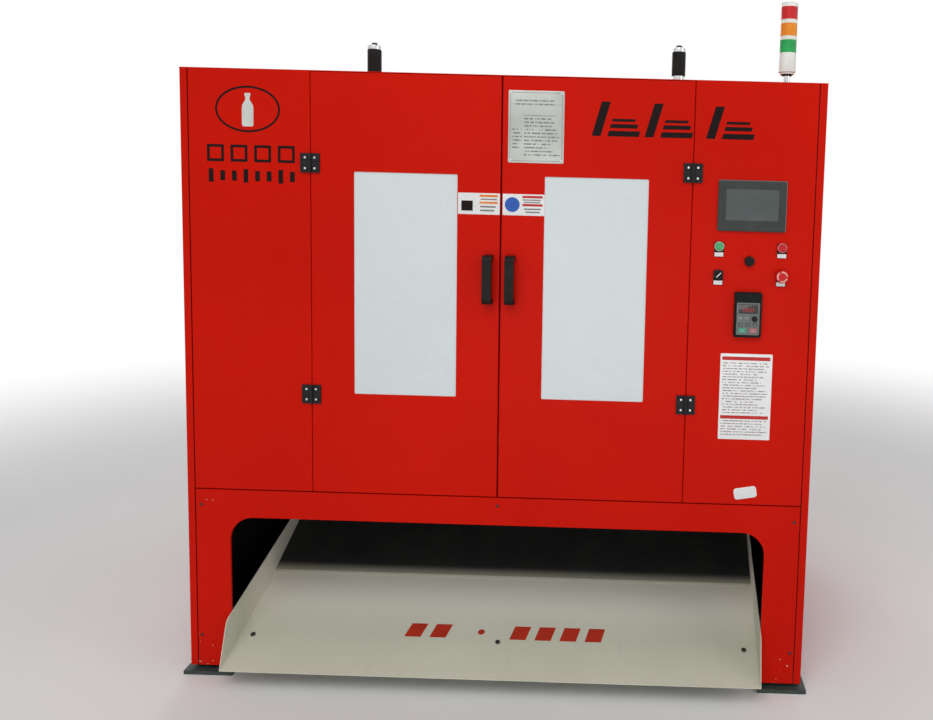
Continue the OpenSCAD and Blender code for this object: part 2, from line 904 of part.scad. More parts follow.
// Metal ends of one silencer: base, pipe through the roof, nut, cap and top stud
module silencer_fitting(x, h) {
    top_z = body_h + h + silencer_h;
    cap_r = silencer_r - silencer_cap_in;
    translate([x, front_y + silencer_in, 0]) {
        translate([0, 0, body_h]) cylinder(h = h, r = silencer_r - silencer_base_in);
        difference() {
            translate([0, 0, roof_under_z - inner_pipe_h])
                cylinder(h = inner_pipe_h + roof_t + h, r = nipple_r);
            translate([0, 0, roof_under_z - inner_pipe_h - cut])
                cylinder(h = inner_pipe_h, r = nipple_r - nipple_wall);
        }
        difference() {
            translate([0, 0, roof_under_z - nut_h]) cylinder(h = nut_h, r = nut_r, $fn = 6);
            translate([0, 0, roof_under_z - nut_h - cut]) cylinder(h = nut_h + 2 * cut, r = nipple_r - cut);
        }
        translate([0, 0, top_z]) rotate_extrude() {
            square([cap_r - silencer_cap_r, silencer_cap_h]);
            square([cap_r, silencer_cap_h - silencer_cap_r]);
            translate([cap_r - silencer_cap_r, silencer_cap_h - silencer_cap_r])
                circle(silencer_cap_r);
        }
        translate([0, 0, top_z + silencer_cap_h])
            cylinder(h = silencer_stud_h, r = silencer_stud_r, $fn = 6);
    }
}

module silencer_bodies() {
    color("#232526") {
        silencer_body(silencer_left_x, base_left_h);
        silencer_body(silencer_right_x, base_right_h);
    }
}

module silencer_fittings() {
    color("#c9ccce") {
        silencer_fitting(silencer_left_x, base_left_h);
        silencer_fitting(silencer_right_x, base_right_h);
    }
}

module at_tower() {
    translate([tower_x, front_y + tower_in, 0]) children();
}

// Pole, standing on the frame's top rail
module tower_pole() {
    color("#c6c8c4")
    at_tower() translate([0, 0, roof_under_z]) difference() {
        cylinder(h = tower_z - roof_under_z, r = pole_r);
        translate([0, 0, -cut])
            cylinder(h = tower_z - roof_under_z + 2 * cut, r = pole_r - pole_wall);
    }
}

// White parts: skirt, lower housing, central column, rings and cap
module tower_housing() {
    color("#e8e9e3")
    at_tower() translate([0, 0, tower_z]) rotate_extrude() {
        square([tower_r - skirt_in, skirt_h]);
        translate([0, skirt_h]) square([tower_r, tower_body_h]);
        translate([0, skirt_h]) square([column_r, tower_top_z - tower_z - skirt_h]);
        for (z = [amber_z, red_z])
            translate([0, z - ring_h - tower_z]) square([tower_r, ring_h]);
        translate([0, tower_top_z - tower_z]) {
            square([tower_r, tower_cap_h - tower_cap_r]);
            square([tower_r - tower_cap_r, tower_cap_h]);
            translate([tower_r - tower_cap_r, tower_cap_h - tower_cap_r]) circle(tower_cap_r);
        }
    }
}

module lens(z) {
    at_tower() translate([0, 0, z]) rotate_extrude()
        translate([tower_r - lens_wall, 0]) square([lens_wall, lens_h]);
}

module tower_green_lens() {
    color("#14a34c") lens(green_z);
}

module tower_amber_lens() {
    color("#ef8a10") lens(amber_z);
}

module tower_red_lens() {
    color("#d01418") lens(red_z);
}

// Operator controls

module hmi_bezel() {
    color("#3b4242")
    difference() {
        union() {
            upright(hmi_x, hmi_z, hmi_w, hmi_h, 5, front_y - hmi_t + bezel_rim, front_y);
            upright(hmi_x, hmi_z, hmi_w - 2 * bezel_step, hmi_h - 2 * bezel_step, 4,
                front_y - hmi_t, front_y);
            upright(hmi_x, hmi_z, hmi_w - 2 * hmi_case_in, hmi_h - 2 * hmi_case_in, 3,
                front_y, front_y + hmi_depth);
        }
        upright(hmi_x, hmi_z + glass_up, glass_w, glass_h, 2,
            front_y - hmi_t - cut, front_y - hmi_t + glass_t + glass_sunk);
    }
}

module hmi_screen() {
    color("#56625f")
    upright(hmi_x, hmi_z + glass_up, glass_w, glass_h, 2,
        front_y - hmi_t + glass_sunk, front_y - hmi_t + glass_t + glass_sunk);
}

// Turns a profile drawn as [radius, height above the panel] about a switch's axis
module turned(x, z) {
    translate([x, front_y, z]) rotate([90, 0, 0]) rotate_extrude() children();
}

// Collar of a switch: flange with a round edge, neck through the panel, nut behind
module collar(x, z, recess_r) {
    turned(x, z) difference() {
        union() {
            square([collar_r, collar_h - edge_r]);
            square([collar_r - edge_r, collar_h]);
            translate([collar_r - edge_r, collar_h - edge_r]) circle(edge_r);
            translate([0, -collar_back]) square([switch_hole_r, collar_back]);
            translate([0, -sheet_t - collar_nut_h])
                square([switch_hole_r + collar_nut_out, collar_nut_h]);
        }
        translate([0, recess_floor]) square([recess_r, collar_h]);
        translate([0, -collar_back - cut]) square([stem_r + button_play, collar_back + collar_h]);
    }
}

module switch_collars() {
    color("#b8bbbb") {
        for (x = [switch_left_x, switch_right_x])
            collar(x, switch_upper_z, button_r + button_play);
        collar(switch_left_x, switch_lower_z, button_r + button_play);
        collar(switch_right_x, switch_lower_z, stem_r + button_play + 1);
    }
}

// Push button: round cap on a stem
module push_button(x, z) {
    turned(x, z) {
        translate([0, head_back]) square([button_r, collar_h - head_back]);
        translate([0, head_back]) square([button_r - edge_r, collar_h - head_back + edge_r]);
        translate([button_r - edge_r, collar_h]) circle(edge_r);
        translate([0, -stem_back]) square([stem_r, stem_back + head_back]);
    }
}

module start_button() {
    color("#179a45") push_button(switch_left_x, switch_upper_z);
}

module stop_button() {
    color("#c21622") push_button(switch_right_x, switch_upper_z);
}

// Selector: turning disc with a raised bar across it
module selector_knob() {
    bar_w = 8;
    bar_h = 9;
    bar_deg = -45;
    color("#1a1b1c") {
        turned(switch_left_x, switch_lower_z) {
            translate([0, recess_floor + body_gap])
                square([button_r, collar_h - recess_floor - body_gap]);
            translate([0, -stem_back]) square([stem_r, stem_back + collar_h]);
        }
        translate([switch_left_x, front_y - collar_h, switch_lower_z]) rotate([90, 0, 0])
            rotate([0, 0, bar_deg]) linear_extrude(bar_h)
                translate([-bar_w / 2, -button_r + 0.5])
                    round_rect(bar_w, 2 * button_r - 1, 3);
    }
}

module estop_button() {
    head_z = collar_h + estop_travel + body_gap;
    head_h = 13;
    head_edge_r = 6;
    color("#c9141c")
    turned(switch_right_x, switch_lower_z) {
        translate([0, -stem_back]) square([stem_r, stem_back + head_z]);
        translate([0, head_z]) square([mushroom_r, head_h - head_edge_r]);
        translate([0, head_z]) square([mushroom_r - head_edge_r, head_h]);
        translate([mushroom_r - head_edge_r, head_z + head_h - head_edge_r]) circle(head_edge_r);
    }
}

module buzzer() {
    dome_r = 3;
    slot_w = 1.5;
    slots_at = [4, 8];
    color("#161718")
    turned(buzzer_x, buzzer_z) difference() {
        union() {
            square([collar_r, collar_h]);
            square([collar_r - dome_r, collar_h + dome_r]);
            translate([collar_r - dome_r, collar_h]) circle(dome_r);
            translate([0, -collar_back]) square([switch_hole_r, collar_back]);
        }
        for (r = slots_at)
            translate([r, collar_h + slot_w]) square([slot_w, dome_r]);
    }
}

// Speed drive in the control panel

module drive_housing() {
    color("#1d2222")
    difference() {
        union() {
            upright(drive_x, drive_z, drive_w, drive_h, 4, front_y - drive_out + drive_step, front_y);
            upright(drive_x, drive_z, drive_w - 2 * drive_step, drive_h - 2 * drive_step, 3,
                front_y - drive_out, front_y);
            upright(drive_x, drive_z, drive_w - 2 * drive_case_in, drive_h - 2 * drive_case_in, 3,
                front_y, front_y + drive_depth);
        }
        upright(drive_x, pad_z, pad_w, pad_h, 3, front_y - drive_out - cut, pad_face_y + pad_t);
    }
}

// Cuts one hole for a key through the keypad
module key_hole(dx, drop, w, h) {
    upright(drive_x + dx, pad_top_z - drop, w + 2 * key_play, h + 2 * key_play, 2,
        pad_face_y - cut, pad_face_y + pad_t - pad_back);
}

module drive_keypad() {
    color("#8d9490")
    difference() {
        upright(drive_x, pad_z, pad_w, pad_h, 3, pad_face_y, pad_face_y + pad_t);
        upright(drive_x, pad_top_z - display_drop, display_w, display_h, 1.5,
            pad_face_y - cut, pad_face_y + 1);
        for (i = [-1 : 1])
            key_hole(i * small_key_dx, small_key_drop, small_key_w, small_key_h);
        for (i = [-1, 1])
            key_hole(i * large_key_dx, large_key_drop, large_key_w, large_key_h);
        bar_y(drive_x + dial_dx, pad_top_z - dial_drop, dial_shaft_r + run_fit,
            pad_face_y - cut, pad_face_y + pad_t - pad_back);
    }
}

// One key: its cap stands out of the keypad and its foot lies under its travel
module key(dx, drop, w, h) {
    upright(drive_x + dx, pad_top_z - drop, w, h, 1.8,
        pad_face_y - key_out, pad_face_y + pad_t - pad_back - key_travel - body_gap);
}

module drive_run_key() {
    color("#1f9a6a") key(-large_key_dx, large_key_drop, large_key_w, large_key_h);
}

module drive_stop_key() {
    color("#b5434c") key(large_key_dx, large_key_drop, large_key_w, large_key_h);
}

module drive_left_key() {
    color("#39403d") key(-small_key_dx, small_key_drop, small_key_w, small_key_h);
}

module drive_middle_key() {
    color("#39403d") key(0, small_key_drop, small_key_w, small_key_h);
}

module drive_right_key() {
    color("#39403d") key(small_key_dx, small_key_drop, small_key_w, small_key_h);
}

// Speed dial: knob with a pointer groove, on a thin shaft
module drive_dial() {
    dial_h = 9;
    groove_w = 1.2;
    groove_d = 0.8;
    color("#101112")
    difference() {
        union() {
            bar_y(drive_x + dial_dx, pad_top_z - dial_drop, dial_r,
                pad_face_y - body_gap - dial_h, pad_face_y - body_gap);
            bar_y(drive_x + dial_dx, pad_top_z - dial_drop, dial_shaft_r,
                pad_face_y - body_gap, pad_face_y + pad_t - pad_back - body_gap);
        }
        translate([drive_x + dial_dx - groove_w / 2, pad_face_y - body_gap - dial_h - cut,
            pad_top_z - dial_drop + 1])
            cube([groove_w, groove_d + cut, dial_r]);
    }
}

// Hinges

// Leaf on the +X side of a hinge axis; its knuckles lie at the given heights
module hinge_leaf(z, knuckles, bore_r) {
    difference() {
        union() {
            translate([leaf_in, front_y - leaf_t, z - hinge_h / 2])
                cube([hinge_h / 2 - leaf_in, leaf_t, hinge_h]);
            for (k = knuckles) {
                translate([0, pin_y, z + k[0]]) cylinder(h = k[1], r = knuckle_r);
                translate([0, front_y - leaf_t, z + k[0]])
                    cube([leaf_in + cut, leaf_t - 0.5, k[1]]);
            }
        }
        translate([0, pin_y, z - hinge_h / 2 - cut]) cylinder(h = hinge_h + 2 * cut, r = bore_r);
    }
}

// Leaves fixed to the cabinet, each with its pin pressed in
module hinge_frame_leaves() {
    color("#17181a")
    both_sides()
        for (z = [hinge_lower_z, hinge_upper_z]) {
            translate([hinge_seam_x, 0, 0]) hinge_leaf(z, end_knuckles, pin_r);
            translate([hinge_seam_x, pin_y, z - hinge_h / 2]) cylinder(h = hinge_h, r = pin_r);
        }
}

// Both leaves of the door hinged on the +X side
module door_leaves() {
    for (z = [hinge_lower_z, hinge_upper_z])
        translate([hinge_seam_x, 0, 0]) mirror([1, 0, 0])
            hinge_leaf(z, mid_knuckle, pin_r + run_fit);
}

module left_door_leaves() {
    color("#17181a") mirror([1, 0, 0]) door_leaves();
}

module right_door_leaves() {
    color("#17181a") door_leaves();
}

// Doors, drawn for the +X side

module door() {
    w = hinge_seam_x - (panel_gap + hinge_gap) / 2;
    h = door_top_z - door_bottom_z;
    difference() {
        translate([panel_gap / 2, front_y, door_bottom_z]) pan(w, h, pan_d - seal_gap);
        translate([window_in, front_y + sheet_t + cut, window_z])
            rotate([90, 0, 0]) linear_extrude(sheet_t + 2 * cut)
                round_rect(window_w, window_h, 4);
    }
}

module window() {
    translate([window_in - pane_lap, front_y + sheet_t + pane_t, window_z - pane_lap])
        rotate([90, 0, 0]) linear_extrude(pane_t)
            round_rect(window_w + 2 * pane_lap, window_h + 2 * pane_lap, 8);
}

// Bridge handle: two feet and a grip, drawn from the side and extruded across
module handle() {
    outer_r = 16;
    inner_r = 9;
    translate([handle_x + handle_w / 2, front_y, handle_z]) rotate([0, 0, 180])
        rotate([90, 0, 90]) linear_extrude(handle_w) difference() {
            translate([-handle_out, -handle_l / 2])
                round_rect(2 * handle_out, handle_l, outer_r);
            translate([-handle_out - cut, -handle_l / 2 - cut])
                square([handle_out + cut, handle_l + 2 * cut]);
            translate([-handle_out + grip_t, -handle_l / 2 + grip_t])
                round_rect(2 * (handle_out - grip_t), handle_l - 2 * grip_t, inner_r);
        }
}

module left_door() {
    color("#c8170d") mirror([1, 0, 0]) door();
}

module left_window() {
    color("#c8d2d4") mirror([1, 0, 0]) window();
}

module left_handle() {
    color("#141516") mirror([1, 0, 0]) handle();
}

module right_door() {
    color("#c8170d") door();
}

module right_window() {
    color("#c8d2d4") window();
}

module right_handle() {
    color("#141516") handle();
}

// Mould clamp

// Bars of radius r along X through the four tie bar places
module at_ties(r, x0, x1) {
    for (sy = [-1, 1], sz = [-1, 1])
        bar_x(clamp_y + sy * tie_y, clamp_z + sz * tie_z, r, x0, x1);
}

// Block whose middle in Y is the clamp's middle
module clamp_block(x0, x1, w, z0, z1) {
    translate([x0, clamp_y - w / 2, z0]) cube([x1 - x0, w, z1 - z0]);
}

module end_plate() {
    x0 = end_plate_x;
    x1 = end_plate_back;
    difference() {
        clamp_block(x0, x1, plate_w, deck_top_z, platen_top_z);
        at_ties(tie_r, x0 - cut, x1 + cut);
        bar_x(clamp_y, clamp_z, clamp_rod_r + run_fit, x0 - cut, x1 + cut);
        // Arch cut out of the foot, so that the plate stands on two feet
        translate([x0 - cut, clamp_y, deck_top_z]) rotate([90, 0, 90])
            linear_extrude(end_plate_t + 2 * cut)
                translate([-plate_w / 4, -foot_arch_h])
                    round_rect(plate_w / 2, 2 * foot_arch_h, foot_arch_r);
    }
}

module clamp_end_plates() {
    color("#3d6a94") both_sides() end_plate();
}

// Tie bars with a nut on each end
module tie_bars() {
    end_x = end_plate_back + tie_nut_w + tie_end_l;
    color("#c3c7ca") {
        at_ties(tie_r, -end_x, end_x);
        both_sides() difference() {
            for (sy = [-1, 1], sz = [-1, 1])
                translate([end_plate_back, clamp_y + sy * tie_y, clamp_z + sz * tie_z])
                    rotate([0, 90, 0]) cylinder(h = tie_nut_w, r = tie_nut_r, $fn = 6);
            at_ties(tie_r + run_fit, end_plate_back - cut, end_x);
        }
    }
}

// Cylinder: flange, barrel and end cap, with its bore open to the rod
module clamp_cylinder() {
    x0 = end_plate_back;
    x1 = x0 + clamp_bore_l;
    flange_t = 16;
    cap_t = 24;
    rod_r = 6;
    rod_in = barrel_r - rod_r / 2;
    difference() {
        union() {
            bar_x(clamp_y, clamp_z, barrel_r, x0, x1 + cap_t);
            for (x = [[x0, x0 + flange_t], [x1, x1 + cap_t]])
                clamp_block(x[0], x[1], 2 * flange_half, clamp_z - flange_half, clamp_z + flange_half);
            for (sy = [-1, 1], sz = [-1, 1])
                bar_x(clamp_y + sy * rod_in, clamp_z + sz * rod_in, rod_r, x0, x1);
        }
        bar_x(clamp_y, clamp_z, clamp_bore_r, x0 - cut, x1);
    }
}

module clamp_cylinders() {
    color("#9aa0a4") both_sides() clamp_cylinder();
}

// Moving platen with its guide bores, rod and piston, drawn for the +X side
module platen() {
    x1 = platen_x + platen_t;
    piston_x = end_plate_back + clamp_end_room;
    difference() {
        clamp_block(platen_x, x1, plate_w, clamp_z - platen_h / 2, platen_top_z);
        at_ties(tie_r + run_fit, platen_x - cut, x1 + cut);
    }
    bar_x(clamp_y, clamp_z, clamp_rod_r, x1, piston_x + clamp_piston_t);
    bar_x(clamp_y, clamp_z, clamp_bore_r - run_fit, piston_x, piston_x + clamp_piston_t);
}

module left_platen() {
    color("#5e88ad") mirror([1, 0, 0]) platen();
}

module right_platen() {
    color("#5e88ad") platen();
}

// Half outline of a bottle, from its base upwards
module bottle_profile() {
    base_r = 12;
    groove_r = 3;
    groove_pitch = 26;
    neck_l = mould_h - cavity_floor - bottle_h + cut;
    difference() {
        union() {
            translate([0, base_r]) square([bottle_r, bottle_h - base_r]);
            square([bottle_r - base_r, base_r + cut]);
            translate([bottle_r - base_r, base_r]) circle(base_r);
            intersection() {
                translate([0, bottle_h]) circle(bottle_r);
                translate([0, bottle_h - cut]) square([bottle_r, bottle_r + 2 * cut]);
            }
            translate([0, bottle_h]) square([neck_r, neck_l]);
        }
        for (i = [1 : 4])
            translate([bottle_r + groove_r / 3, i * groove_pitch + base_r]) circle(groove_r);
    }
}

// Two mould halves side by side on one platen, one cavity in each, drawn for the +X side
module mould() {
    block_w = (mould_w - mould_seam) / 2;
    difference() {
        for (sy = [-1, 1])
            translate([
                parting,
                clamp_y + sy * (mould_seam + block_w) / 2 - block_w / 2,
                clamp_z - mould_h / 2
            ])
                cube([platen_x - parting, block_w, mould_h]);
        for (sy = [-1, 1])
            translate([0, clamp_y + sy * cavity_y, clamp_z - mould_h / 2 + cavity_floor])
                rotate_extrude() bottle_profile();
    }
}

module left_mould() {
    color("#b9bec2") mirror([1, 0, 0]) mould();
}

module right_mould() {
    color("#b9bec2") mould();
}

// Blowing head

// Bridge over the clamp: two legs on the end plates, a cross plate and two guide rods
module blow_bridge() {
    leg_t = 30;
    color("#3d6a94") {
        translate([-end_plate_back, bridge_front_y, bridge_z])
            cube([2 * end_plate_back, bridge_rear_y - bridge_front_y, bridge_t]);
        both_sides()
            translate([end_plate_back - leg_t, clamp_y - plate_w / 4, platen_top_z])
                cube([leg_t, plate_w / 2, bridge_rise]);
    }
    color("#c3c7ca")
    for (sy = [-1, 1])
        translate([0, clamp_y + sy * guide_y, guide_z])
            cylinder(h = bridge_z - guide_z, r = guide_r);
}

// Blow cylinder on its spacer tube under the bridge
module blow_cylinder(x) {
    spacer_z = blow_cylinder_z + blow_cylinder_l;
    translate([x, clamp_y, 0]) difference() {
        union() {
            translate([0, 0, blow_cylinder_z]) cylinder(h = blow_cylinder_l, r = blow_cylinder_r);
            translate([0, 0, spacer_z]) cylinder(h = bridge_z - spacer_z, r = spacer_r);
        }
        translate([0, 0, blow_cylinder_z + blow_cap_t])
            cylinder(h = blow_cylinder_l - 2 * blow_cap_t, r = blow_bore_r);
        translate([0, 0, blow_cylinder_z - cut])
            cylinder(h = blow_cap_t + 2 * cut, r = blow_rod_r + run_fit);
    }
}

// Blow cylinders and the slide unit that drives the stretch rods
module head_cylinders() {
    slot_w = 12;
    slot_d = 10;
    unit_z = blow_carriage_z + carriage_t + side_clear;
    color("#9aa0a4") {
        for (x = [-blow_cylinder_x, blow_cylinder_x])
            blow_cylinder(x);
        translate([0, slide_unit_y, unit_z]) linear_extrude(bridge_z - unit_z) difference() {
            square(slide_unit_w, center = true);
            for (a = [0, 90, 180, 270])
                rotate([0, 0, a]) translate([-slot_w / 2, slide_unit_w / 2 - slot_d])
                    square([slot_w, slot_d + cut]);
        }
    }
}

// Carriage with the two blow nozzles and the rods of its cylinders
module blow_carriage() {
    carriage_w = 2 * (blow_cylinder_x + blow_rod_r + carriage_end);
    rod_top_z = blow_cylinder_z + blow_cylinder_l - blow_cap_t - blow_piston_room;
    hole_r = stretch_r + run_fit;
    tip_h = 12;
    tip_in = 5;
    flange_h = 15;
    flange_r = nozzle_r + 8;
    color("#b08a3e")
    difference() {
        union() {
            translate([-carriage_w / 2, clamp_y - carriage_half_d, blow_carriage_z])
                cube([carriage_w, 2 * carriage_half_d, carriage_t]);
            for (sy = [-1, 1])
                translate([0, clamp_y + sy * cavity_y, nozzle_z]) rotate_extrude() {
                    square([nozzle_r - tip_in, nozzle_l]);
                    translate([0, tip_h]) square([nozzle_r, nozzle_l - tip_h]);
                    translate([0, nozzle_l - flange_h]) square([flange_r, flange_h]);
                }
            for (x = [-blow_cylinder_x, blow_cylinder_x])
                translate([x, clamp_y, 0]) {
                    translate([0, 0, blow_carriage_z + carriage_t])
                        cylinder(h = rod_top_z - blow_carriage_z - carriage_t, r = blow_rod_r);
                    translate([0, 0, rod_top_z - blow_piston_t])
                        cylinder(h = blow_piston_t, r = blow_bore_r - run_fit);
                }
        }
        for (sy = [-1, 1]) {
            translate([0, clamp_y + sy * guide_y, blow_carriage_z - cut])
                cylinder(h = carriage_t + 2 * cut, r = guide_r + run_fit);
            translate([0, clamp_y + sy * cavity_y, nozzle_z - cut])
                cylinder(h = nozzle_l + carriage_t + 2 * cut, r = hole_r);
        }
    }
}

// Carriage with the two stretch rods; its tongue runs along the slide unit
module stretch_carriage() {
    front = clamp_y - carriage_half_d;
    rear = slide_unit_y - slide_unit_w / 2 - body_gap;
    color("#c3c7ca")
    difference() {
        union() {
            translate([-stretch_carriage_w / 2, front, stretch_carriage_z])
                cube([stretch_carriage_w, rear - front, carriage_t]);
            for (sy = [-1, 1])
                translate([0, clamp_y + sy * cavity_y, nozzle_z + rod_tip_in])
                    cylinder(h = stretch_carriage_z - nozzle_z - rod_tip_in, r = stretch_r);
        }
        for (sy = [-1, 1])
            translate([0, clamp_y + sy * guide_y, stretch_carriage_z - cut])
                cylinder(h = carriage_t + 2 * cut, r = guide_r + run_fit);
    }
}

// Oven

// Oven: floor, lamp wall, reflector wall, end brackets for the lamps and four legs
module oven_housing() {
    y0 = oven_y - tunnel_w / 2 - oven_wall_t;
    y1 = oven_y + tunnel_w / 2 + lamp_bay;
    floor_t = 10;
    bracket_t = 12;
    color("#a9adaf")
    difference() {
        union() {
            translate([-oven_l / 2, y0, oven_z - floor_t])
                cube([oven_l, y1 + oven_wall_t - y0, floor_t]);
            translate([-oven_l / 2, y0, oven_z]) cube([oven_l, oven_wall_t, oven_h]);
            translate([-oven_l / 2, y1, oven_z]) cube([oven_l, oven_wall_t, oven_h]);
            for (x = [-oven_l / 2, oven_l / 2 - bracket_t])
                translate([x, y1 - lamp_bay, oven_z]) cube([bracket_t, lamp_bay, oven_h]);
            for (sx = [-1, 1], y = [y0, y1 + oven_wall_t - oven_leg_w])
                translate([sx * (oven_l / 2 - oven_leg_w) - oven_leg_w / 2, y, deck_top_z])
                    cube([oven_leg_w, oven_leg_w, oven_z - floor_t - deck_top_z]);
        }
        at_lamps(lamp_r);
    }
}

// Bars of radius r at the lamps' places
module at_lamps(r) {
    pitch = oven_h / lamp_count;
    end_in = 2;
    for (i = [0 : lamp_count - 1])
        bar_x(oven_y + tunnel_w / 2 + lamp_bay / 2, oven_z + (i + 0.5) * pitch, r,
            -oven_l / 2 + end_in, oven_l / 2 - end_in);
}

module oven_lamps() {
    color("#e8e2d0") at_lamps(lamp_r);
}

// Electrical equipment on its plate behind the control panel

module electrical_plate() {
    plate_t = 3;
    plate_x = post_x - tube_w / 2 - plate_t;
    plate_l = 640;
    rail_h = 35;
    rail_d = 8;
    rail_in = 20;
    device_gap = 10;
    // Length along Y, height and depth of each device
    clamp_drive = [130, 260, 140];
    lamp_drive = [110, 200, 120];
    power_supply = [120, 240, 100];
    cable_duct = [500, 60, 70];
    contactors = [220, 110, 80];
    breakers = [240, 90, 75];
    duct_z = deck_top_z + 120;
    deep_z = deck_top_z + 380;
    small_z = deck_top_z + 740;
    // The deep devices stand beside the clamp's cylinder, not in front of it
    first_y = clamp_y + flange_half + device_gap;
    second_y = first_y + clamp_drive[0] + device_gap;
    third_y = second_y + lamp_drive[0] + device_gap;
    side_y = -plate_l / 2 + 2 * rail_in;
    // Each device: place along Y, height above the floor, size
    devices = [
        [first_y, deep_z, clamp_drive],
        [second_y, deep_z, lamp_drive],
        [third_y, deep_z, power_supply],
        [side_y, duct_z, cable_duct],
        [side_y, small_z, contactors],
        [side_y + contactors[0] + 4 * device_gap, small_z, breakers]
    ];
    color("#c9c7bd") {
        translate([plate_x, -plate_l / 2, deck_top_z])
            cube([plate_t, plate_l, top_rail_z + tube_w / 2 - deck_top_z]);
        for (d = [devices[3], devices[4]])
            translate([plate_x - rail_d, rail_in - plate_l / 2, d[1] + (d[2][1] - rail_h) / 2])
                cube([rail_d, plate_l - 2 * rail_in, rail_h]);
    }
    color("#3a3f42")
    for (d = devices)
        translate([plate_x - d[2][2], d[0], d[1]]) cube([d[2][2], d[2][0], d[2][1]]);
}

foot_plates();
frame_posts();
frame_cross_rails();
frame_side_rails();
deck_plate();
left_side_panel();
right_side_panel();
roof_panel();
rear_panels();
left_front_panel();
control_panel();
front_apron();
chute_tray();
chute_mat();
silencer_bodies();
silencer_fittings();
tower_pole();
tower_housing();
tower_green_lens();
tower_amber_lens();
tower_red_lens();
hmi_bezel();
hmi_screen();
switch_collars();
buzzer();
drive_housing();
drive_keypad();
hinge_frame_leaves();
left_door_leaves();
right_door_leaves();
left_door();
left_window();
left_handle();
right_door();
right_window();
right_handle();
start_button();
stop_button();
selector_knob();
estop_button();
drive_dial();
drive_run_key();
drive_stop_key();
drive_left_key();
drive_middle_key();
drive_right_key();
clamp_end_plates();
tie_bars();
clamp_cylinders();
left_platen();
right_platen();
left_mould();
right_mould();
blow_bridge();
head_cylinders();
blow_carriage();
stretch_carriage();
oven_housing();
oven_lamps();
electrical_plate();
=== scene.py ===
import json
import math

import bpy
from mathutils import Euler, Matrix, Vector


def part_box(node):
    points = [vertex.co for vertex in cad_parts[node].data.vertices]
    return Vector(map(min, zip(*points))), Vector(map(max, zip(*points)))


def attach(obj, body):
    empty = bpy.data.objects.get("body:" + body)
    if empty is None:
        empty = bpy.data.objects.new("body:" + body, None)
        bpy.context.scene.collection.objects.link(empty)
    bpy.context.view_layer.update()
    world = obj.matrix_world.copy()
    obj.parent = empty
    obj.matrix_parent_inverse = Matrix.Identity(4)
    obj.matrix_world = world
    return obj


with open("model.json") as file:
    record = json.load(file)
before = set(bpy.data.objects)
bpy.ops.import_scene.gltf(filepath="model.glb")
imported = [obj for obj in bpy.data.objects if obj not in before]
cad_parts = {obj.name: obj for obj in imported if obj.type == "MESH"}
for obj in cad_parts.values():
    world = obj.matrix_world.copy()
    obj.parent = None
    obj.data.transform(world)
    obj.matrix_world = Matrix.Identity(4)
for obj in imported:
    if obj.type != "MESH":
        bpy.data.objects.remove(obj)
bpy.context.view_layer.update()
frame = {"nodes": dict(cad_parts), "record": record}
print("frame loaded:", len(frame["nodes"]), "nodes")

mm = 0.001
tiny = 1e-6   # metres between points that count as one
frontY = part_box("control_panel")[0].y   # face of the panels and doors


# Camera
camera = {
    "place": (0.40582, -2.85300, 1.51028),
    "turn": (85.24845, -1.54195, 0.64422),   # degrees about X, Y and Z
    "lens": 30.022,
    "shift": (-0.17471, -0.10397),
}


def addCamera(settings):
    data = bpy.data.cameras.new("photoCamera")
    data.sensor_width = 36
    data.lens = settings["lens"]
    data.shift_x, data.shift_y = settings["shift"]
    data.clip_start = 0.05
    data.clip_end = 100
    holder = bpy.data.objects.new("photoCamera", data)
    bpy.context.scene.collection.objects.link(holder)
    holder.location = settings["place"]
    holder.rotation_euler = Euler([math.radians(a) for a in settings["turn"]], "XYZ")
    bpy.context.scene.camera = holder


addCamera(camera)
print("camera placed")


# Node helpers
def addNode(tree, kind, values=None, links=None):
    node = tree.nodes.new(kind)
    for key, value in (values or {}).items():
        if isinstance(key, int) or key in node.inputs.keys():
            node.inputs[key].default_value = value
        else:
            setattr(node, key, value)
    for key, socket in (links or {}).items():
        tree.links.new(socket, node.inputs[key])
    return node


def calc(tree, operation, *terms):
    node = tree.nodes.new("ShaderNodeMath")
    node.operation = operation
    for place, term in enumerate(terms):
        if isinstance(term, bpy.types.NodeSocket):
            tree.links.new(term, node.inputs[place])
        else:
            node.inputs[place].default_value = term
    return node.outputs[0]


def blendColours(tree, share, first, second):
    node = tree.nodes.new("ShaderNodeMix")
    node.data_type = "RGBA"
    for place, term in ((0, share), (6, first), (7, second)):
        if isinstance(term, bpy.types.NodeSocket):
            tree.links.new(term, node.inputs[place])
        else:
            node.inputs[place].default_value = term if place == 0 else (*term, 1)
    return node.outputs[2]


def noiseAt(tree, spot, scale, detail=3, distortion=0.0):
    return addNode(tree, "ShaderNodeTexNoise", {"Scale": scale, "Detail": detail, "Distortion": distortion},
                   {"Vector": spot}).outputs["Fac"]


def spread(tree, socket, low, high, fromLow=0.35, fromHigh=0.65, shape="LINEAR"):
    return addNode(tree, "ShaderNodeMapRange", {
        "interpolation_type": shape, "From Min": fromLow, "From Max": fromHigh,
        "To Min": low, "To Max": high,
    }, {"Value": socket}).outputs[0]


def objectSpot(tree, stretch=(1, 1, 1)):
    spot = tree.nodes.new("ShaderNodeTexCoord").outputs["Object"]
    if stretch == (1, 1, 1):
        return spot
    return addNode(tree, "ShaderNodeMapping", {"Scale": stretch}, {"Vector": spot}).outputs["Vector"]


def axes(tree):
    return addNode(tree, "ShaderNodeSeparateXYZ", links={"Vector": objectSpot(tree)}).outputs


def withinRange(tree, socket, low, high):
    return calc(tree, "COMPARE", socket, (low + high) / 2, (high - low) / 2)


# Share that rises smoothly from 0 to 1 between two values
def smoothRise(tree, socket, start, end):
    return spread(tree, socket, 0, 1, start, end, "SMOOTHSTEP")


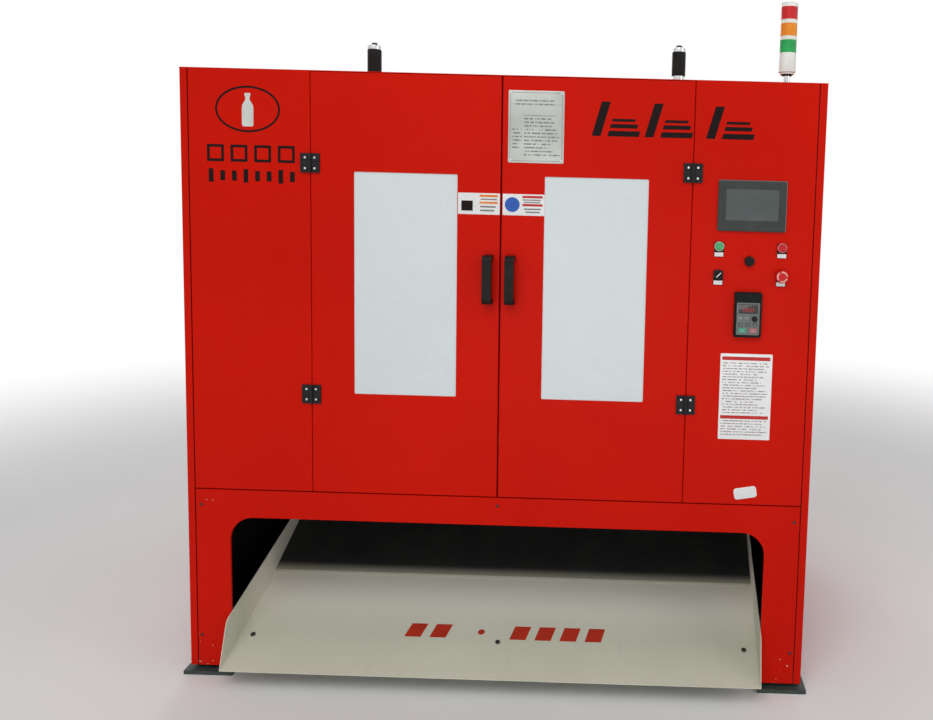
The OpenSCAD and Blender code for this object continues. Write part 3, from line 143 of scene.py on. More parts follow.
# Distance from zero of a point with these two coordinates
def hypotenuse(tree, first, second):
    squares = calc(tree, "ADD", calc(tree, "POWER", first, 2.0), calc(tree, "POWER", second, 2.0))
    return calc(tree, "SQRT", squares)


# 1 for rays from the camera, straight or by way of gloss or glass
def seenRays(tree):
    rays = tree.nodes.new("ShaderNodeLightPath").outputs
    bent = calc(tree, "MAXIMUM", rays["Is Glossy Ray"], rays["Is Transmission Ray"])
    return calc(tree, "MAXIMUM", rays["Is Camera Ray"], bent)


def newMaterial(name):
    material = bpy.data.materials.new(name)
    material.use_nodes = True
    tree = material.node_tree
    return material, tree, tree.nodes["Principled BSDF"]


def addBump(tree, shader, layers):
    # each layer: height socket, strength, distance in metres
    normal = None
    for height, strength, distance in layers:
        links = {"Height": height}
        if normal is not None:
            links["Normal"] = normal
        values = {"Strength": strength, "Distance": distance}
        normal = addNode(tree, "ShaderNodeBump", values, links).outputs[0]
    tree.links.new(normal, shader.inputs["Normal"])


# Values that most looks share
usual = {
    "stretch": (1, 1, 1), "speckShare": 0.5, "speckRange": (0.58, 0.75), "smearPerPatch": 6,
    "depth": 0.4 * mm, "waveDepth": 20 * mm,
}
shaderSockets = {
    "metal": "Metallic", "specular": "Specular IOR Level",
    "coat": "Coat Weight", "clear": "Transmission Weight",
}


# Surface with soft patches of two colours, uneven gloss and fine grain
def makeFinish(name, ownLook, paintOver=None):
    look = {**usual, **ownLook}
    material, tree, shader = newMaterial(name)
    spot = objectSpot(tree, look["stretch"])
    plain = objectSpot(tree)
    patches = spread(tree, noiseAt(tree, plain, look["patch"], 4), 0, 1)
    colour = blendColours(tree, patches, look["colour"], look["shade"])
    if "speck" in look:
        dots = noiseAt(tree, spot, look["speckSize"], 2)
        specks = spread(tree, dots, 0, look["speckShare"], *look["speckRange"])
        colour = blendColours(tree, specks, colour, look["speck"])
    if paintOver:
        colour = paintOver(tree, colour)
    tree.links.new(colour, shader.inputs["Base Color"])
    smears = noiseAt(tree, spot, look["patch"] * look["smearPerPatch"], 3)
    tree.links.new(spread(tree, smears, *look["rough"]), shader.inputs["Roughness"])
    layers = [(noiseAt(tree, spot, look["grain"], 2), look["lift"], look["depth"])]
    if "wave" in look:
        layers.insert(0, (noiseAt(tree, plain, look["wave"], 1), look["waveLift"], look["waveDepth"]))
    addBump(tree, shader, layers)
    for key, socket in shaderSockets.items():
        if key in look:
            shader.inputs[socket].default_value = look[key]
    return material


# Finishes
redPaint = {
    "colour": (0.56, 0.0075, 0.0012), "shade": (0.50, 0.0062, 0.001), "patch": 1.4,
    "rough": (0.40, 0.44), "grain": 700, "lift": 0.04, "wave": 1.6, "waveLift": 0.06,
    "specular": 0.06,
}
# Painted shade for places inside the cabinet: its colour, the depth behind the front where it starts on the
# apron, and the panels' sheet thickness
unlit = {"deep": 9 * mm, "sheet": 1.5 * mm, "colour": (0.012, 0.011, 0.011)}
# Chips lie below top and above upper, further out than outer
chips = {
    "top": 130 * mm, "upper": 545 * mm, "outer": 860 * mm, "size": 95, "twist": 0.4, "rarity": 0.70,
    "colour": (0.55, 0.53, 0.48),
}


# Painted shade: the inner faces of the side panels are painted near black, standing in for the shade inside
# the cabinet
def paintedShadeInside(tree, colour):
    x, y = axes(tree)[:2]
    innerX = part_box("right_side_panel")[1].x - unlit["sheet"]
    inside = calc(tree, "LESS_THAN", calc(tree, "ABSOLUTE", x), innerX)
    between = calc(tree, "LESS_THAN", calc(tree, "ABSOLUTE", y), -frontY - unlit["sheet"])
    return blendColours(tree, calc(tree, "MULTIPLY", inside, between), colour, unlit["colour"])


# Pale chips in the paint near the floor, and painted shade on the folds behind the arch's lip
def chipsAndShadeBehindLip(tree, colour):
    x, y, z = axes(tree)[:3]
    # painted shade: everything behind the apron's front face gets the unlit colour
    deep = calc(tree, "GREATER_THAN", y, frontY + unlit["deep"])
    colour = blendColours(tree, deep, colour, unlit["colour"])
    low = calc(tree, "LESS_THAN", z, chips["top"])
    ends = calc(tree, "MAXIMUM", low, calc(tree, "GREATER_THAN", z, chips["upper"]))
    side = calc(tree, "GREATER_THAN", calc(tree, "ABSOLUTE", x), chips["outer"])
    noise = noiseAt(tree, objectSpot(tree), chips["size"], 4, chips["twist"])
    marks = calc(tree, "GREATER_THAN", noise, chips["rarity"])
    share = calc(tree, "MULTIPLY", calc(tree, "MULTIPLY", ends, side), marks)
    return blendColours(tree, share, colour, chips["colour"])


chutePaint = {
    "colour": (0.625, 0.618, 0.50), "shade": (0.58, 0.572, 0.46), "patch": 2.2,
    "speck": (0.45, 0.43, 0.355), "speckSize": 9, "speckShare": 0.12,
    "stretch": (5, 1, 1), "rough": (0.42, 0.6), "grain": 260, "lift": 0.06, "wave": 2.5, "waveLift": 0.08,
    "specular": 0.35,
}
# The mat is painted near black as painted shade, for the dark space behind the chute's floor
shadeDarkMat = {
    "colour": (0.014, 0.015, 0.014), "shade": (0.024, 0.025, 0.022), "patch": 7,
    "rough": (0.7, 0.85), "grain": 420, "lift": 0.25, "specular": 0.3,
}
# Both fade along Y from start to end
# Painted soft edge of the shade on the mat
matShadeEdge = {"start": -226 * mm, "end": -178 * mm, "colour": (0.42, 0.40, 0.32)}
# Paler colour painted on the tray towards the fold, as painted light
chutePaintedLight = {"start": -500 * mm, "end": -270 * mm, "colour": (0.88, 0.84, 0.73)}


# Painted light: the tray grows paler towards its fold, making up for the shade that falls there under the
# machine
def paintedLightOnChute(tree, colour):
    share = smoothRise(tree, axes(tree)[1], chutePaintedLight["start"], chutePaintedLight["end"])
    return blendColours(tree, share, colour, chutePaintedLight["colour"])


# The mat's front edge fades from a tray colour into the mat's dark, as the painted soft edge of the shade
# at the fold
def shadeEdgeOnMat(tree, colour):
    share = smoothRise(tree, axes(tree)[1], matShadeEdge["start"], matShadeEdge["end"])
    return blendColours(tree, share, matShadeEdge["colour"], colour)


studs = {"height": 7 * mm, "leftLower": 15 * mm, "colour": (0.05, 0.05, 0.052)}


# The stud on top of each silencer is darker than its cap
def darkStuds(tree, colour):
    x, _, z = axes(tree)[:3]
    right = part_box("silencer_fittings")[1].z - studs["height"]
    left = right - studs["leftLower"]
    dark = calc(tree, "MAXIMUM", calc(tree, "GREATER_THAN", z, right),
                calc(tree, "MULTIPLY", calc(tree, "LESS_THAN", x, 0), calc(tree, "GREATER_THAN", z, left)))
    return blendColours(tree, dark, colour, studs["colour"])


# The point between the four switches (x and z), and the colours of three of their rings
collarTints = {
    "middle": (742 * mm, 1334 * mm), "selector": (0.012, 0.012, 0.013),
    "start": (0.23, 0.31, 0.22), "stop": (0.43, 0.11, 0.11),
}


# Each switch has a ring of its own colour
def tintedCollars(tree, colour):
    x, _, z = axes(tree)[:3]
    left = calc(tree, "LESS_THAN", x, collarTints["middle"][0])
    low = calc(tree, "LESS_THAN", z, collarTints["middle"][1])
    right = calc(tree, "SUBTRACT", 1, left)
    high = calc(tree, "SUBTRACT", 1, low)
    colour = blendColours(tree, calc(tree, "MULTIPLY", left, low), colour, collarTints["selector"])
    colour = blendColours(tree, calc(tree, "MULTIPLY", left, high), colour, collarTints["start"])
    return blendColours(tree, calc(tree, "MULTIPLY", right, high), colour, collarTints["stop"])


# Width and colour of the painted highlight on the bezel's upper and right edges
bezelHighlight = {"width": 2.4 * mm, "colour": (0.12, 0.135, 0.135)}


# The bezel's upper and right edges are painted paler as a painted highlight, where their bevels catch the
# light
def paintedRimHighlight(tree, colour):
    x, _, z = axes(tree)[:3]
    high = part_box("hmi_bezel")[1]
    rim = calc(tree, "MAXIMUM", calc(tree, "GREATER_THAN", x, high.x - bezelHighlight["width"]),
               calc(tree, "GREATER_THAN", z, high.z - bezelHighlight["width"]))
    return blendColours(tree, rim, colour, bezelHighlight["colour"])


estopRing = {
    "inner": 11.6 * mm, "outer": 16.4 * mm, "colour": (0.72, 0.33, 0.28),
    "arcs": 3, "phase": -15, "breaks": -0.8,
}


# Pale ring of arcs printed on the emergency stop
def pressRing(tree, colour):
    low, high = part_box("estop_button")
    x, _, z = axes(tree)[:3]
    across = calc(tree, "SUBTRACT", x, (low.x + high.x) / 2)
    up = calc(tree, "SUBTRACT", z, (low.z + high.z) / 2)
    band = withinRange(tree, hypotenuse(tree, across, up), estopRing["inner"], estopRing["outer"])
    turn = calc(tree, "ARCTAN2", across, up)
    wave = calc(tree, "MULTIPLY_ADD", turn, float(estopRing["arcs"]), math.radians(estopRing["phase"]))
    arcs = calc(tree, "GREATER_THAN", calc(tree, "SINE", wave), estopRing["breaks"])
    return blendColours(tree, calc(tree, "MULTIPLY", band, arcs), colour, estopRing["colour"])


looks = {
    "red_paint": redPaint,
    "foot_paint": {
        "colour": (0.020, 0.034, 0.030), "shade": (0.035, 0.048, 0.042), "patch": 14,
        "speck": (0.16, 0.13, 0.10), "speckSize": 70, "rough": (0.45, 0.7), "grain": 260, "lift": 0.2,
    },
    "frame_paint": {
        "colour": (0.045, 0.05, 0.054), "shade": (0.065, 0.07, 0.074), "patch": 6,
        "rough": (0.42, 0.58), "grain": 500, "lift": 0.08,
    },
    "deck_steel": {
        "colour": (0.36, 0.37, 0.38), "shade": (0.27, 0.28, 0.285), "patch": 5, "stretch": (1, 26, 1),
        "speck": (0.15, 0.14, 0.13), "speckSize": 12, "rough": (0.3, 0.48), "grain": 60, "lift": 0.1,
        "metal": 0.9,
    },
    "chute_paint": chutePaint,
    "mat_rubber": shadeDarkMat,
    "black_plastic": {
        "colour": (0.009, 0.008, 0.007), "shade": (0.014, 0.013, 0.012), "patch": 30,
        "rough": (0.36, 0.5), "grain": 1500, "lift": 0.12, "specular": 0.1,
    },
    "fitting_steel": {
        "colour": (0.62, 0.63, 0.64), "shade": (0.48, 0.49, 0.5), "patch": 40, "stretch": (1, 1, 14),
        "rough": (0.18, 0.32), "grain": 220, "lift": 0.06, "metal": 1.0,
    },
    "tower_white": {
        "colour": (0.77, 0.78, 0.73), "shade": (0.68, 0.69, 0.63), "patch": 22,
        "rough": (0.3, 0.42), "grain": 900, "lift": 0.05,
    },
    "bezel_plastic": {
        "colour": (0.028, 0.033, 0.030), "shade": (0.036, 0.042, 0.038), "patch": 25,
        "rough": (0.42, 0.55), "grain": 1600, "lift": 0.12, "specular": 0.25,
    },
    "screen_glass": {
        "colour": (0.068, 0.082, 0.079), "shade": (0.084, 0.100, 0.096), "patch": 9,
        "rough": (0.12, 0.2), "grain": 60, "lift": 0.01, "specular": 0.25,
    },
    "collar_metal": {
        "colour": (0.46, 0.48, 0.475), "shade": (0.36, 0.38, 0.37), "patch": 60,
        "rough": (0.25, 0.38), "grain": 800, "lift": 0.04, "metal": 0.8,
    },
    "housing_plastic": {
        "colour": (0.006, 0.008, 0.007), "shade": (0.010, 0.012, 0.011), "patch": 30,
        "rough": (0.4, 0.52), "grain": 1500, "lift": 0.12, "specular": 0.08,
    },
    "keypad_plastic": {
        "colour": (0.095, 0.112, 0.105), "shade": (0.112, 0.13, 0.122), "patch": 30,
        "rough": (0.42, 0.55), "grain": 1300, "lift": 0.06,
    },
    "key_plastic": {
        "colour": (0.04, 0.05, 0.047), "shade": (0.05, 0.062, 0.058), "patch": 80,
        "rough": (0.4, 0.5), "grain": 1800, "lift": 0.05,
    },
    "green_key": {
        "colour": (0.045, 0.26, 0.165), "shade": (0.055, 0.29, 0.185), "patch": 90,
        "rough": (0.38, 0.48), "grain": 1800, "lift": 0.05,
    },
    "pink_key": {
        "colour": (0.33, 0.10, 0.11), "shade": (0.36, 0.115, 0.125), "patch": 90,
        "rough": (0.38, 0.48), "grain": 1800, "lift": 0.05,
    },
    "hinge_black": {
        "colour": (0.008, 0.008, 0.009), "shade": (0.015, 0.015, 0.016), "patch": 50,
        "rough": (0.38, 0.5), "grain": 1100, "lift": 0.1, "specular": 0.15,
    },
    "window_pane": {
        "colour": (0.62, 0.67, 0.674), "shade": (0.602, 0.652, 0.66), "patch": 1.8,
        "rough": (0.2, 0.32), "grain": 30, "lift": 0.02, "wave": 2.2, "waveLift": 0.04,
        "specular": 0.25,
    },
    "start_green": {
        "colour": (0.008, 0.27, 0.06), "shade": (0.012, 0.33, 0.085), "patch": 120,
        "rough": (0.22, 0.34), "grain": 1500, "lift": 0.03,
    },
    "stop_red": {
        "colour": (0.46, 0.006, 0.012), "shade": (0.52, 0.01, 0.018), "patch": 120,
        "rough": (0.22, 0.34), "grain": 1500, "lift": 0.03, "specular": 0.2,
    },
    "estop_red": {
        "colour": (0.55, 0.004, 0.006), "shade": (0.48, 0.003, 0.005), "patch": 90,
        "rough": (0.25, 0.36), "grain": 1500, "lift": 0.03, "specular": 0.2,
    },
    "clamp_blue": {
        "colour": (0.045, 0.125, 0.27), "shade": (0.06, 0.15, 0.31), "patch": 5,
        "rough": (0.35, 0.5), "grain": 240, "lift": 0.18,
    },
    "platen_blue": {
        "colour": (0.10, 0.23, 0.39), "shade": (0.125, 0.26, 0.42), "patch": 6,
        "rough": (0.35, 0.5), "grain": 240, "lift": 0.18,
    },
    "mould_metal": {
        "colour": (0.56, 0.57, 0.585), "shade": (0.48, 0.49, 0.5), "patch": 9, "stretch": (1, 30, 1),
        "rough": (0.16, 0.3), "grain": 40, "lift": 0.05, "metal": 1.0,
    },
    "chrome_bar": {
        "colour": (0.66, 0.67, 0.68), "shade": (0.58, 0.59, 0.6), "patch": 12,
        "rough": (0.06, 0.14), "grain": 300, "lift": 0.02, "metal": 1.0,
    },
    "cylinder_metal": {
        "colour": (0.42, 0.44, 0.45), "shade": (0.36, 0.38, 0.39), "patch": 8, "stretch": (20, 1, 1),
        "rough": (0.28, 0.4), "grain": 90, "lift": 0.06, "metal": 0.9,
    },
    "carriage_metal": {
        "colour": (0.5, 0.515, 0.53), "shade": (0.42, 0.43, 0.44), "patch": 14, "stretch": (24, 1, 1),
        "rough": (0.22, 0.36), "grain": 60, "lift": 0.06, "metal": 1.0,
    },
    "stretch_steel": {
        "colour": (0.62, 0.62, 0.62), "shade": (0.5, 0.5, 0.5), "patch": 20, "stretch": (1, 1, 20),
        "rough": (0.15, 0.28), "grain": 70, "lift": 0.04, "metal": 1.0,
    },
    "oven_sheet": {
        "colour": (0.58, 0.59, 0.6), "shade": (0.48, 0.47, 0.45), "patch": 5, "stretch": (20, 1, 1),
        "rough": (0.2, 0.36), "grain": 40, "lift": 0.05, "metal": 0.95,
    },
    "lamp_quartz": {
        "colour": (0.82, 0.80, 0.74), "shade": (0.7, 0.67, 0.6), "patch": 12,
        "rough": (0.08, 0.18), "grain": 60, "lift": 0.02, "clear": 0.5,
    },
    "electrics": {
        "colour": (0.26, 0.27, 0.27), "shade": (0.33, 0.34, 0.335), "patch": 6,
        "rough": (0.4, 0.55), "grain": 900, "lift": 0.06,
    },
}
lenses = {
    "green_lens": {"colour": (0.008, 0.40, 0.085), "shade": (0.006, 0.30, 0.06)},
    "amber_lens": {"colour": (0.84, 0.27, 0.004), "shade": (0.72, 0.20, 0.003)},
    "red_lens": {"colour": (0.60, 0.007, 0.012), "shade": (0.48, 0.004, 0.008)},
}
lensRibs = {"scale": 190, "lift": 0.35, "depth": 1 * mm}
overPaint = {"mat_rubber": shadeEdgeOnMat, "fitting_steel": darkStuds, "estop_red": pressRing,
             "chute_paint": paintedLightOnChute, "collar_metal": tintedCollars, "bezel_plastic": paintedRimHighlight}


# Tinted lens with fine rings moulded round it
def makeLens(name, tint):
    look = {**tint, "patch": 30, "rough": (0.16, 0.26), "grain": 900, "lift": 0.03,
            "specular": 0.2, "coat": 0.15}
    material = makeFinish(name, look)
    tree = material.node_tree
    shader = tree.nodes["Principled BSDF"]
    values = {"bands_direction": "Z", "Scale": lensRibs["scale"], "Distortion": 0.0}
    ribs = addNode(tree, "ShaderNodeTexWave", values, {"Vector": objectSpot(tree)}).outputs["Fac"]
    addBump(tree, shader, [(ribs, lensRibs["lift"], lensRibs["depth"])])
    return material


finishes = {slot: makeFinish(slot, look, overPaint.get(slot)) for slot, look in looks.items()}
finishes.update({slot: makeLens(slot, tint) for slot, tint in lenses.items()})
finishes["apron_paint"] = makeFinish("apron_paint", redPaint, chipsAndShadeBehindLip)
finishes["side_paint"] = makeFinish("side_paint", redPaint, paintedShadeInside)


def dressNode(name, material):
    node = frame["nodes"][name]
    node.data.materials.clear()
    node.data.materials.append(material)


for part in frame["record"]["subparts"]:
    dressNode(part["node"], finishes[part["material_slot"]])
dressNode("front_apron", finishes["apron_paint"])
for side in ("left", "right"):
    dressNode(side + "_side_panel", finishes["side_paint"])
print("finishes made:", len(finishes))


# Modelling helpers
def dropSelection():
    if bpy.context.object and bpy.context.object.mode != "OBJECT":
        bpy.ops.object.mode_set(mode="OBJECT")
    bpy.ops.object.select_all(action="DESELECT")


def grab(*pieces):
    dropSelection()
    for piece in pieces:
        piece.select_set(True)
    bpy.context.view_layer.objects.active = pieces[0]


def newPiece(name):
    piece = bpy.context.object
    piece.name = name
    bpy.ops.object.transform_apply(location=True, rotation=True, scale=True)
    return piece


def addBlock(name, middle, size):
    dropSelection()
    bpy.ops.mesh.primitive_cube_add(size=1, location=middle, scale=size)
    return newPiece(name)


# Disc whose axis runs along Y
def addDisc(name, middle, radius, depth, corners=32):
    dropSelection()
    bpy.ops.mesh.primitive_cylinder_add(vertices=corners, radius=radius, depth=depth, location=middle,
                                        rotation=(math.pi / 2, 0, 0))
    return newPiece(name)


def pick(piece, kind, wanted):
    grab(piece)
    mesh = piece.data
    points = mesh.vertices
    for group in (points, mesh.edges, mesh.polygons):
        group.foreach_set("select", [False] * len(group))
    bpy.context.tool_settings.mesh_select_mode = (kind == "points", kind == "edges", kind == "faces")
    group = {"points": points, "edges": mesh.edges, "faces": mesh.polygons}[kind]
    for item in group:
        if kind == "points":
            chosen = wanted(item.co)
        elif kind == "edges":
            chosen = wanted(points[item.vertices[0]].co, points[item.vertices[1]].co)
        else:
            chosen = wanted(item.center, item.normal)
        if chosen:
            item.select = True
            for index in ([item.index] if kind == "points" else item.vertices):
                points[index].select = True
    bpy.ops.object.mode_set(mode="EDIT")


def leaveEdit():
    bpy.ops.object.mode_set(mode="OBJECT")


cornerSteps = 5
smoothAngle = math.radians(35)


def roundCorners(piece, radius):
    pick(piece, "edges", lambda a, b: abs(a.x - b.x) < tiny and abs(a.z - b.z) < tiny)
    bpy.ops.mesh.bevel(offset=radius, segments=cornerSteps, affect="EDGES")
    leaveEdit()


def breakFrontEdge(piece, width, steps=2):
    front = min(v.co.y for v in piece.data.vertices)
    pick(piece, "edges", lambda a, b: a.y < front + tiny and b.y < front + tiny)
    bpy.ops.mesh.bevel(offset=width, segments=steps, affect="EDGES")
    leaveEdit()


# Plate on a face that looks along -Y: x and z are its middle, back is where it starts
def addPlate(name, x, z, width, height, thick, back, corner, edge):
    piece = addBlock(name, (x, back - thick / 2, z), (width, thick, height))
    roundCorners(piece, corner)
    breakFrontEdge(piece, edge)
    return piece


def turnPiece(piece, degrees, centre):
    grab(piece)
    bpy.ops.object.mode_set(mode="EDIT")
    bpy.ops.mesh.select_all(action="SELECT")
    bpy.ops.transform.rotate(value=math.radians(degrees), orient_axis="Y", center_override=centre)
    leaveEdit()


# Bar that leans to the right at its top
def addLeaningBar(name, x, z, width, height, lean, thick, back):
    piece = addBlock(name, (x, back - thick / 2, z), (width, thick, height))
    pick(piece, "points", lambda p: p.z > z)
    bpy.ops.transform.translate(value=(lean, 0, 0))
    leaveEdit()
    return piece


def joinPieces(name, pieces):
    grab(*pieces)
    if len(pieces) > 1:
        bpy.ops.object.join()
    piece = bpy.context.object
    piece.name = name
    return piece


def copyTo(source, name, shift):
    piece = source.copy()
    piece.data = source.data.copy()
    piece.name = name
    bpy.context.scene.collection.objects.link(piece)
    piece.data.transform(Matrix.Translation(Vector(shift)))
    return piece


def useModifier(piece, kind, **values):
    grab(piece)
    modifier = piece.modifiers.new(kind.lower(), kind)
    for key, value in values.items():
        setattr(modifier, key, value)
    bpy.ops.object.modifier_apply(modifier=modifier.name)


# Without a material of its own the piece gets the slot's finish
def finishPiece(piece, body, slot, material=None):
    grab(piece)
    bpy.ops.object.transform_apply(location=True, rotation=True, scale=True)
    bpy.ops.object.shade_smooth_by_angle(angle=smoothAngle)
    piece.data.materials.clear()
    piece.data.materials.append(material or finishes[slot])
    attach(piece, body)


# Screws
screw = {
    "radius": 3.4 * mm, "height": 1.6 * mm, "shoulder": 0.7 * mm,
    "slot": 1.0 * mm, "slotDepth": 0.9 * mm, "slotPerRadius": 1.15,
}


# Pan head with a cross recess, its back at the origin, looking along -Y
def makeScrew(name, scale=1.0):
    radius = screw["radius"] * scale
    height = screw["height"] * scale
    head = addDisc(name, (0, -height / 2, 0), radius, height, 24)
    breakFrontEdge(head, screw["shoulder"] * scale, 3)
    length = radius * screw["slotPerRadius"]
    width = screw["slot"] * scale
    depth = screw["slotDepth"] * scale * 2
    for size in ((width, depth, length), (length, depth, width)):
        cutter = addBlock("slotCutter", (0, -height, 0), size)
        useModifier(head, "BOOLEAN", object=cutter, operation="DIFFERENCE", solver="EXACT")
        bpy.data.objects.remove(cutter)
    return head


def placeScrews(name, source, places, body, material):
    heads = [copyTo(source, name + str(i), place) for i, place in enumerate(places)]
    finishPiece(joinPieces(name, heads), body, "fitting_steel", material)


brightSteel = makeFinish("brightScrews", {
    "colour": (0.66, 0.67, 0.68), "shade": (0.52, 0.53, 0.54), "patch": 90,
    "rough": (0.2, 0.34), "grain": 900, "lift": 0.05, "metal": 1.0,
})
darkSteel = makeFinish("darkScrews", {
    "colour": (0.035, 0.032, 0.03), "shade": (0.06, 0.052, 0.045), "patch": 90,
    "rough": (0.35, 0.5), "grain": 900, "lift": 0.1, "metal": 0.6,
})

smallScrew = makeScrew("smallScrew")
hinges = {
    "seamX": 565 * mm, "heights": (895 * mm, 1589 * mm), "leafOut": 4.5 * mm,
    "screwOut": 14 * mm, "screwUp": 15.7 * mm,
}


def hingeScrewPlaces(seam, side):
    return [(seam + side * hinges["screwOut"], frontY - hinges["leafOut"], z + up)
            for z in hinges["heights"] for up in (-hinges["screwUp"], hinges["screwUp"])]


seam = hinges["seamX"]
for owner, body, places in (
    ("frame", "cabinet", hingeScrewPlaces(-seam, -1) + hingeScrewPlaces(seam, 1)),
    ("left", "left_door", hingeScrewPlaces(-seam, 1)),
    ("right", "right_door", hingeScrewPlaces(seam, -1)),
):
    placeScrews("hinge_screws_" + owner, smallScrew, places, body, brightSteel)

apronScrews = {"scale": 1.35, "places": ((-908, 540), (908, 540), (-912, 123), (912, 123), (2, 563))}
apronScrew = makeScrew("apronScrew", apronScrews["scale"])
placeScrews("apron_screws", apronScrew, [(x * mm, frontY, z * mm) for x, z in apronScrews["places"]],
            "cabinet", darkSteel)
for source in (smallScrew, apronScrew):
    bpy.data.objects.remove(source)

chute = {"slope": 13.3, "lip": 63, "lipOut": 92, "sheet": 2}
chuteBolts = {
    "x": (-778, 0, 778), "in": 48, "radius": 7.5, "height": 5, "round": 2.4,
    "socketRim": 2.2, "socketDepth": 2,
}


# Height of the chute's floor at a distance behind the panels' face, both in millimetres
def chuteFloorZ(inward):
    slope = math.radians(chute["slope"])
    rise = (inward + chute["lipOut"]) * math.tan(slope)
    return chute["lip"] + rise + chute["sheet"] / math.cos(slope)


# Button head bolts that hold the chute down, square to its sloping floor
def makeChuteBolts(s):
    heads = []
    height = s["height"] * mm
    tilt = Matrix.Rotation(math.radians(chute["slope"]), 4, "X")
    for i, x in enumerate(s["x"]):
        middle = Vector((x * mm, frontY + s["in"] * mm, chuteFloorZ(s["in"]) * mm))
        dropSelection()
        bpy.ops.mesh.primitive_cylinder_add(vertices=28, radius=s["radius"] * mm, depth=height,
                                            location=(middle.x, middle.y, middle.z + height / 2))
        head = newPiece("bolt" + str(i))
        top = max(v.co.z for v in head.data.vertices)
        pick(head, "edges", lambda a, b: a.z > top - tiny and b.z > top - tiny)
        bpy.ops.mesh.bevel(offset=s["round"] * mm, segments=4, affect="EDGES")
        leaveEdit()
        pick(head, "faces", lambda c, n: n.z > 0.99 and c.z > top - tiny)
        bpy.ops.mesh.inset(thickness=s["socketRim"] * mm, depth=0)
        down = (0, 0, -s["socketDepth"] * mm)
        bpy.ops.mesh.extrude_region_move(TRANSFORM_OT_translate={"value": down})
        leaveEdit()
        head.data.transform(Matrix.Translation(middle) @ tilt @ Matrix.Translation(-middle))
        heads.append(head)
    return joinPieces("chute_bolts", heads)


finishPiece(makeChuteBolts(chuteBolts), "cabinet", "fitting_steel", darkSteel)
print("screws and bolts placed")


# Printed things
inkThick = 0.1 * mm
paperEdge = 0.1 * mm
inkShade = 0.85
# rowShift moves the gaps from row to row, and ragged is how much shorter a row may be
printing = {"rowShift": 7.3, "gaps": 0.46, "ragged": 0.3, "strength": 0.85}


# Rows of short dashes where a sheet is printed; an area is (x0, x1, z0, z1) in millimetres
def printRows(s):
    def paint(tree, colour):
        x, _, z = axes(tree)[:3]
        row = calc(tree, "DIVIDE", z, s["pitch"] * mm)
        number = calc(tree, "FLOOR", row)
        line = calc(tree, "LESS_THAN", calc(tree, "FRACT", row), s["fill"])
        ends = addNode(tree, "ShaderNodeTexWhiteNoise", {"noise_dimensions": "1D"},
                       {"W": number}).outputs["Value"]
        spot = addNode(tree, "ShaderNodeCombineXYZ", links={
            "X": calc(tree, "MULTIPLY", x, s["dash"]),
            "Y": calc(tree, "MULTIPLY", number, printing["rowShift"]),
        }).outputs[0]
        dashes = calc(tree, "GREATER_THAN", noiseAt(tree, spot, 1.0, 1), printing["gaps"])
        total = None
        for area in s["areas"]:
            x0, x1, z0, z1 = (v * mm for v in area)
            short = calc(tree, "MULTIPLY", ends, (x1 - x0) * printing["ragged"])
            before = calc(tree, "LESS_THAN", x, calc(tree, "SUBTRACT", x1, short))
            across = calc(tree, "MULTIPLY", calc(tree, "GREATER_THAN", x, x0), before)
            inside = calc(tree, "MULTIPLY", withinRange(tree, z, z0, z1), across)
            total = inside if total is None else calc(tree, "MAXIMUM", total, inside)
        share = calc(tree, "MULTIPLY", calc(tree, "MULTIPLY", line, dashes), total)
        return blendColours(tree, calc(tree, "MULTIPLY", share, printing["strength"]), colour, s["ink"])
    return paint


def paperLook(colour, shade):
    return {"colour": colour, "shade": shade, "patch": 18, "rough": (0.38, 0.52), "grain": 1200,
            "lift": 0.03, "specular": 0.35}


def inkLook(colour, specular=0.3):
    return {"colour": colour, "shade": tuple(c * inkShade for c in colour), "patch": 24,
            "rough": (0.4, 0.55), "grain": 1200, "lift": 0.04, "specular": specular}


blackVinyl = makeFinish("blackVinyl", inkLook((0.010, 0.005, 0.005), 0.08))
whitePaper = makeFinish("whitePaper", paperLook((0.74, 0.74, 0.73), (0.68, 0.68, 0.67)))
redInk = makeFinish("redInk", inkLook((0.50, 0.02, 0.018)))
greyInk = makeFinish("greyInk", inkLook((0.22, 0.21, 0.21)))
orangeInk = makeFinish("orangeInk", inkLook((0.75, 0.22, 0.02)))
blueInk = makeFinish("blueInk", inkLook((0.02, 0.10, 0.42)))
motifRed = makeFinish("motifRed", inkLook((0.50, 0.035, 0.015)))


# Several flat bars on the front as one piece; each is (x, z, width, height) in millimetres
def makeBars(name, bars, thick, back, lean=0.0):
    parts = [addLeaningBar(name + str(i), x * mm, z * mm, w * mm, h * mm, lean * h * mm, thick, back)
             for i, (x, z, w, h) in enumerate(bars)]
    return joinPieces(name, parts)


# Plate with size and place in its settings, on the front unless back is given
def addSheet(name, s, edge=paperEdge, back=frontY):
    return addPlate(name, s["x"] * mm, s["z"] * mm, s["width"] * mm, s["height"] * mm,
                    s["thick"] * mm, back, s["corner"] * mm, edge)


instructionSheet = {
    "x": 743.4, "z": 924.5, "width": 155.5, "height": 262, "corner": 3, "thick": 0.4,
    "bands": ((742.5, 1041, 144, 11), (742.5, 861.6, 144, 10.4)),
    "print": {"areas": ((673, 812, 874, 1030), (673, 812, 802, 852)),
              "pitch": 8.4, "fill": 0.42, "dash": 260, "ink": (0.22, 0.17, 0.17)},
}


def makeInstructionSheet(s):
    paper = makeFinish("instructionPaper", paperLook((0.80, 0.805, 0.80), (0.75, 0.755, 0.75)),
                       printRows(s["print"]))
    finishPiece(addSheet("instruction_sheet", s), "cabinet", "tower_white", paper)
    bands = makeBars("instruction_bands", s["bands"], inkThick, frontY - s["thick"] * mm)
    finishPiece(bands, "cabinet", "tower_white", redInk)


makeInstructionSheet(instructionSheet)

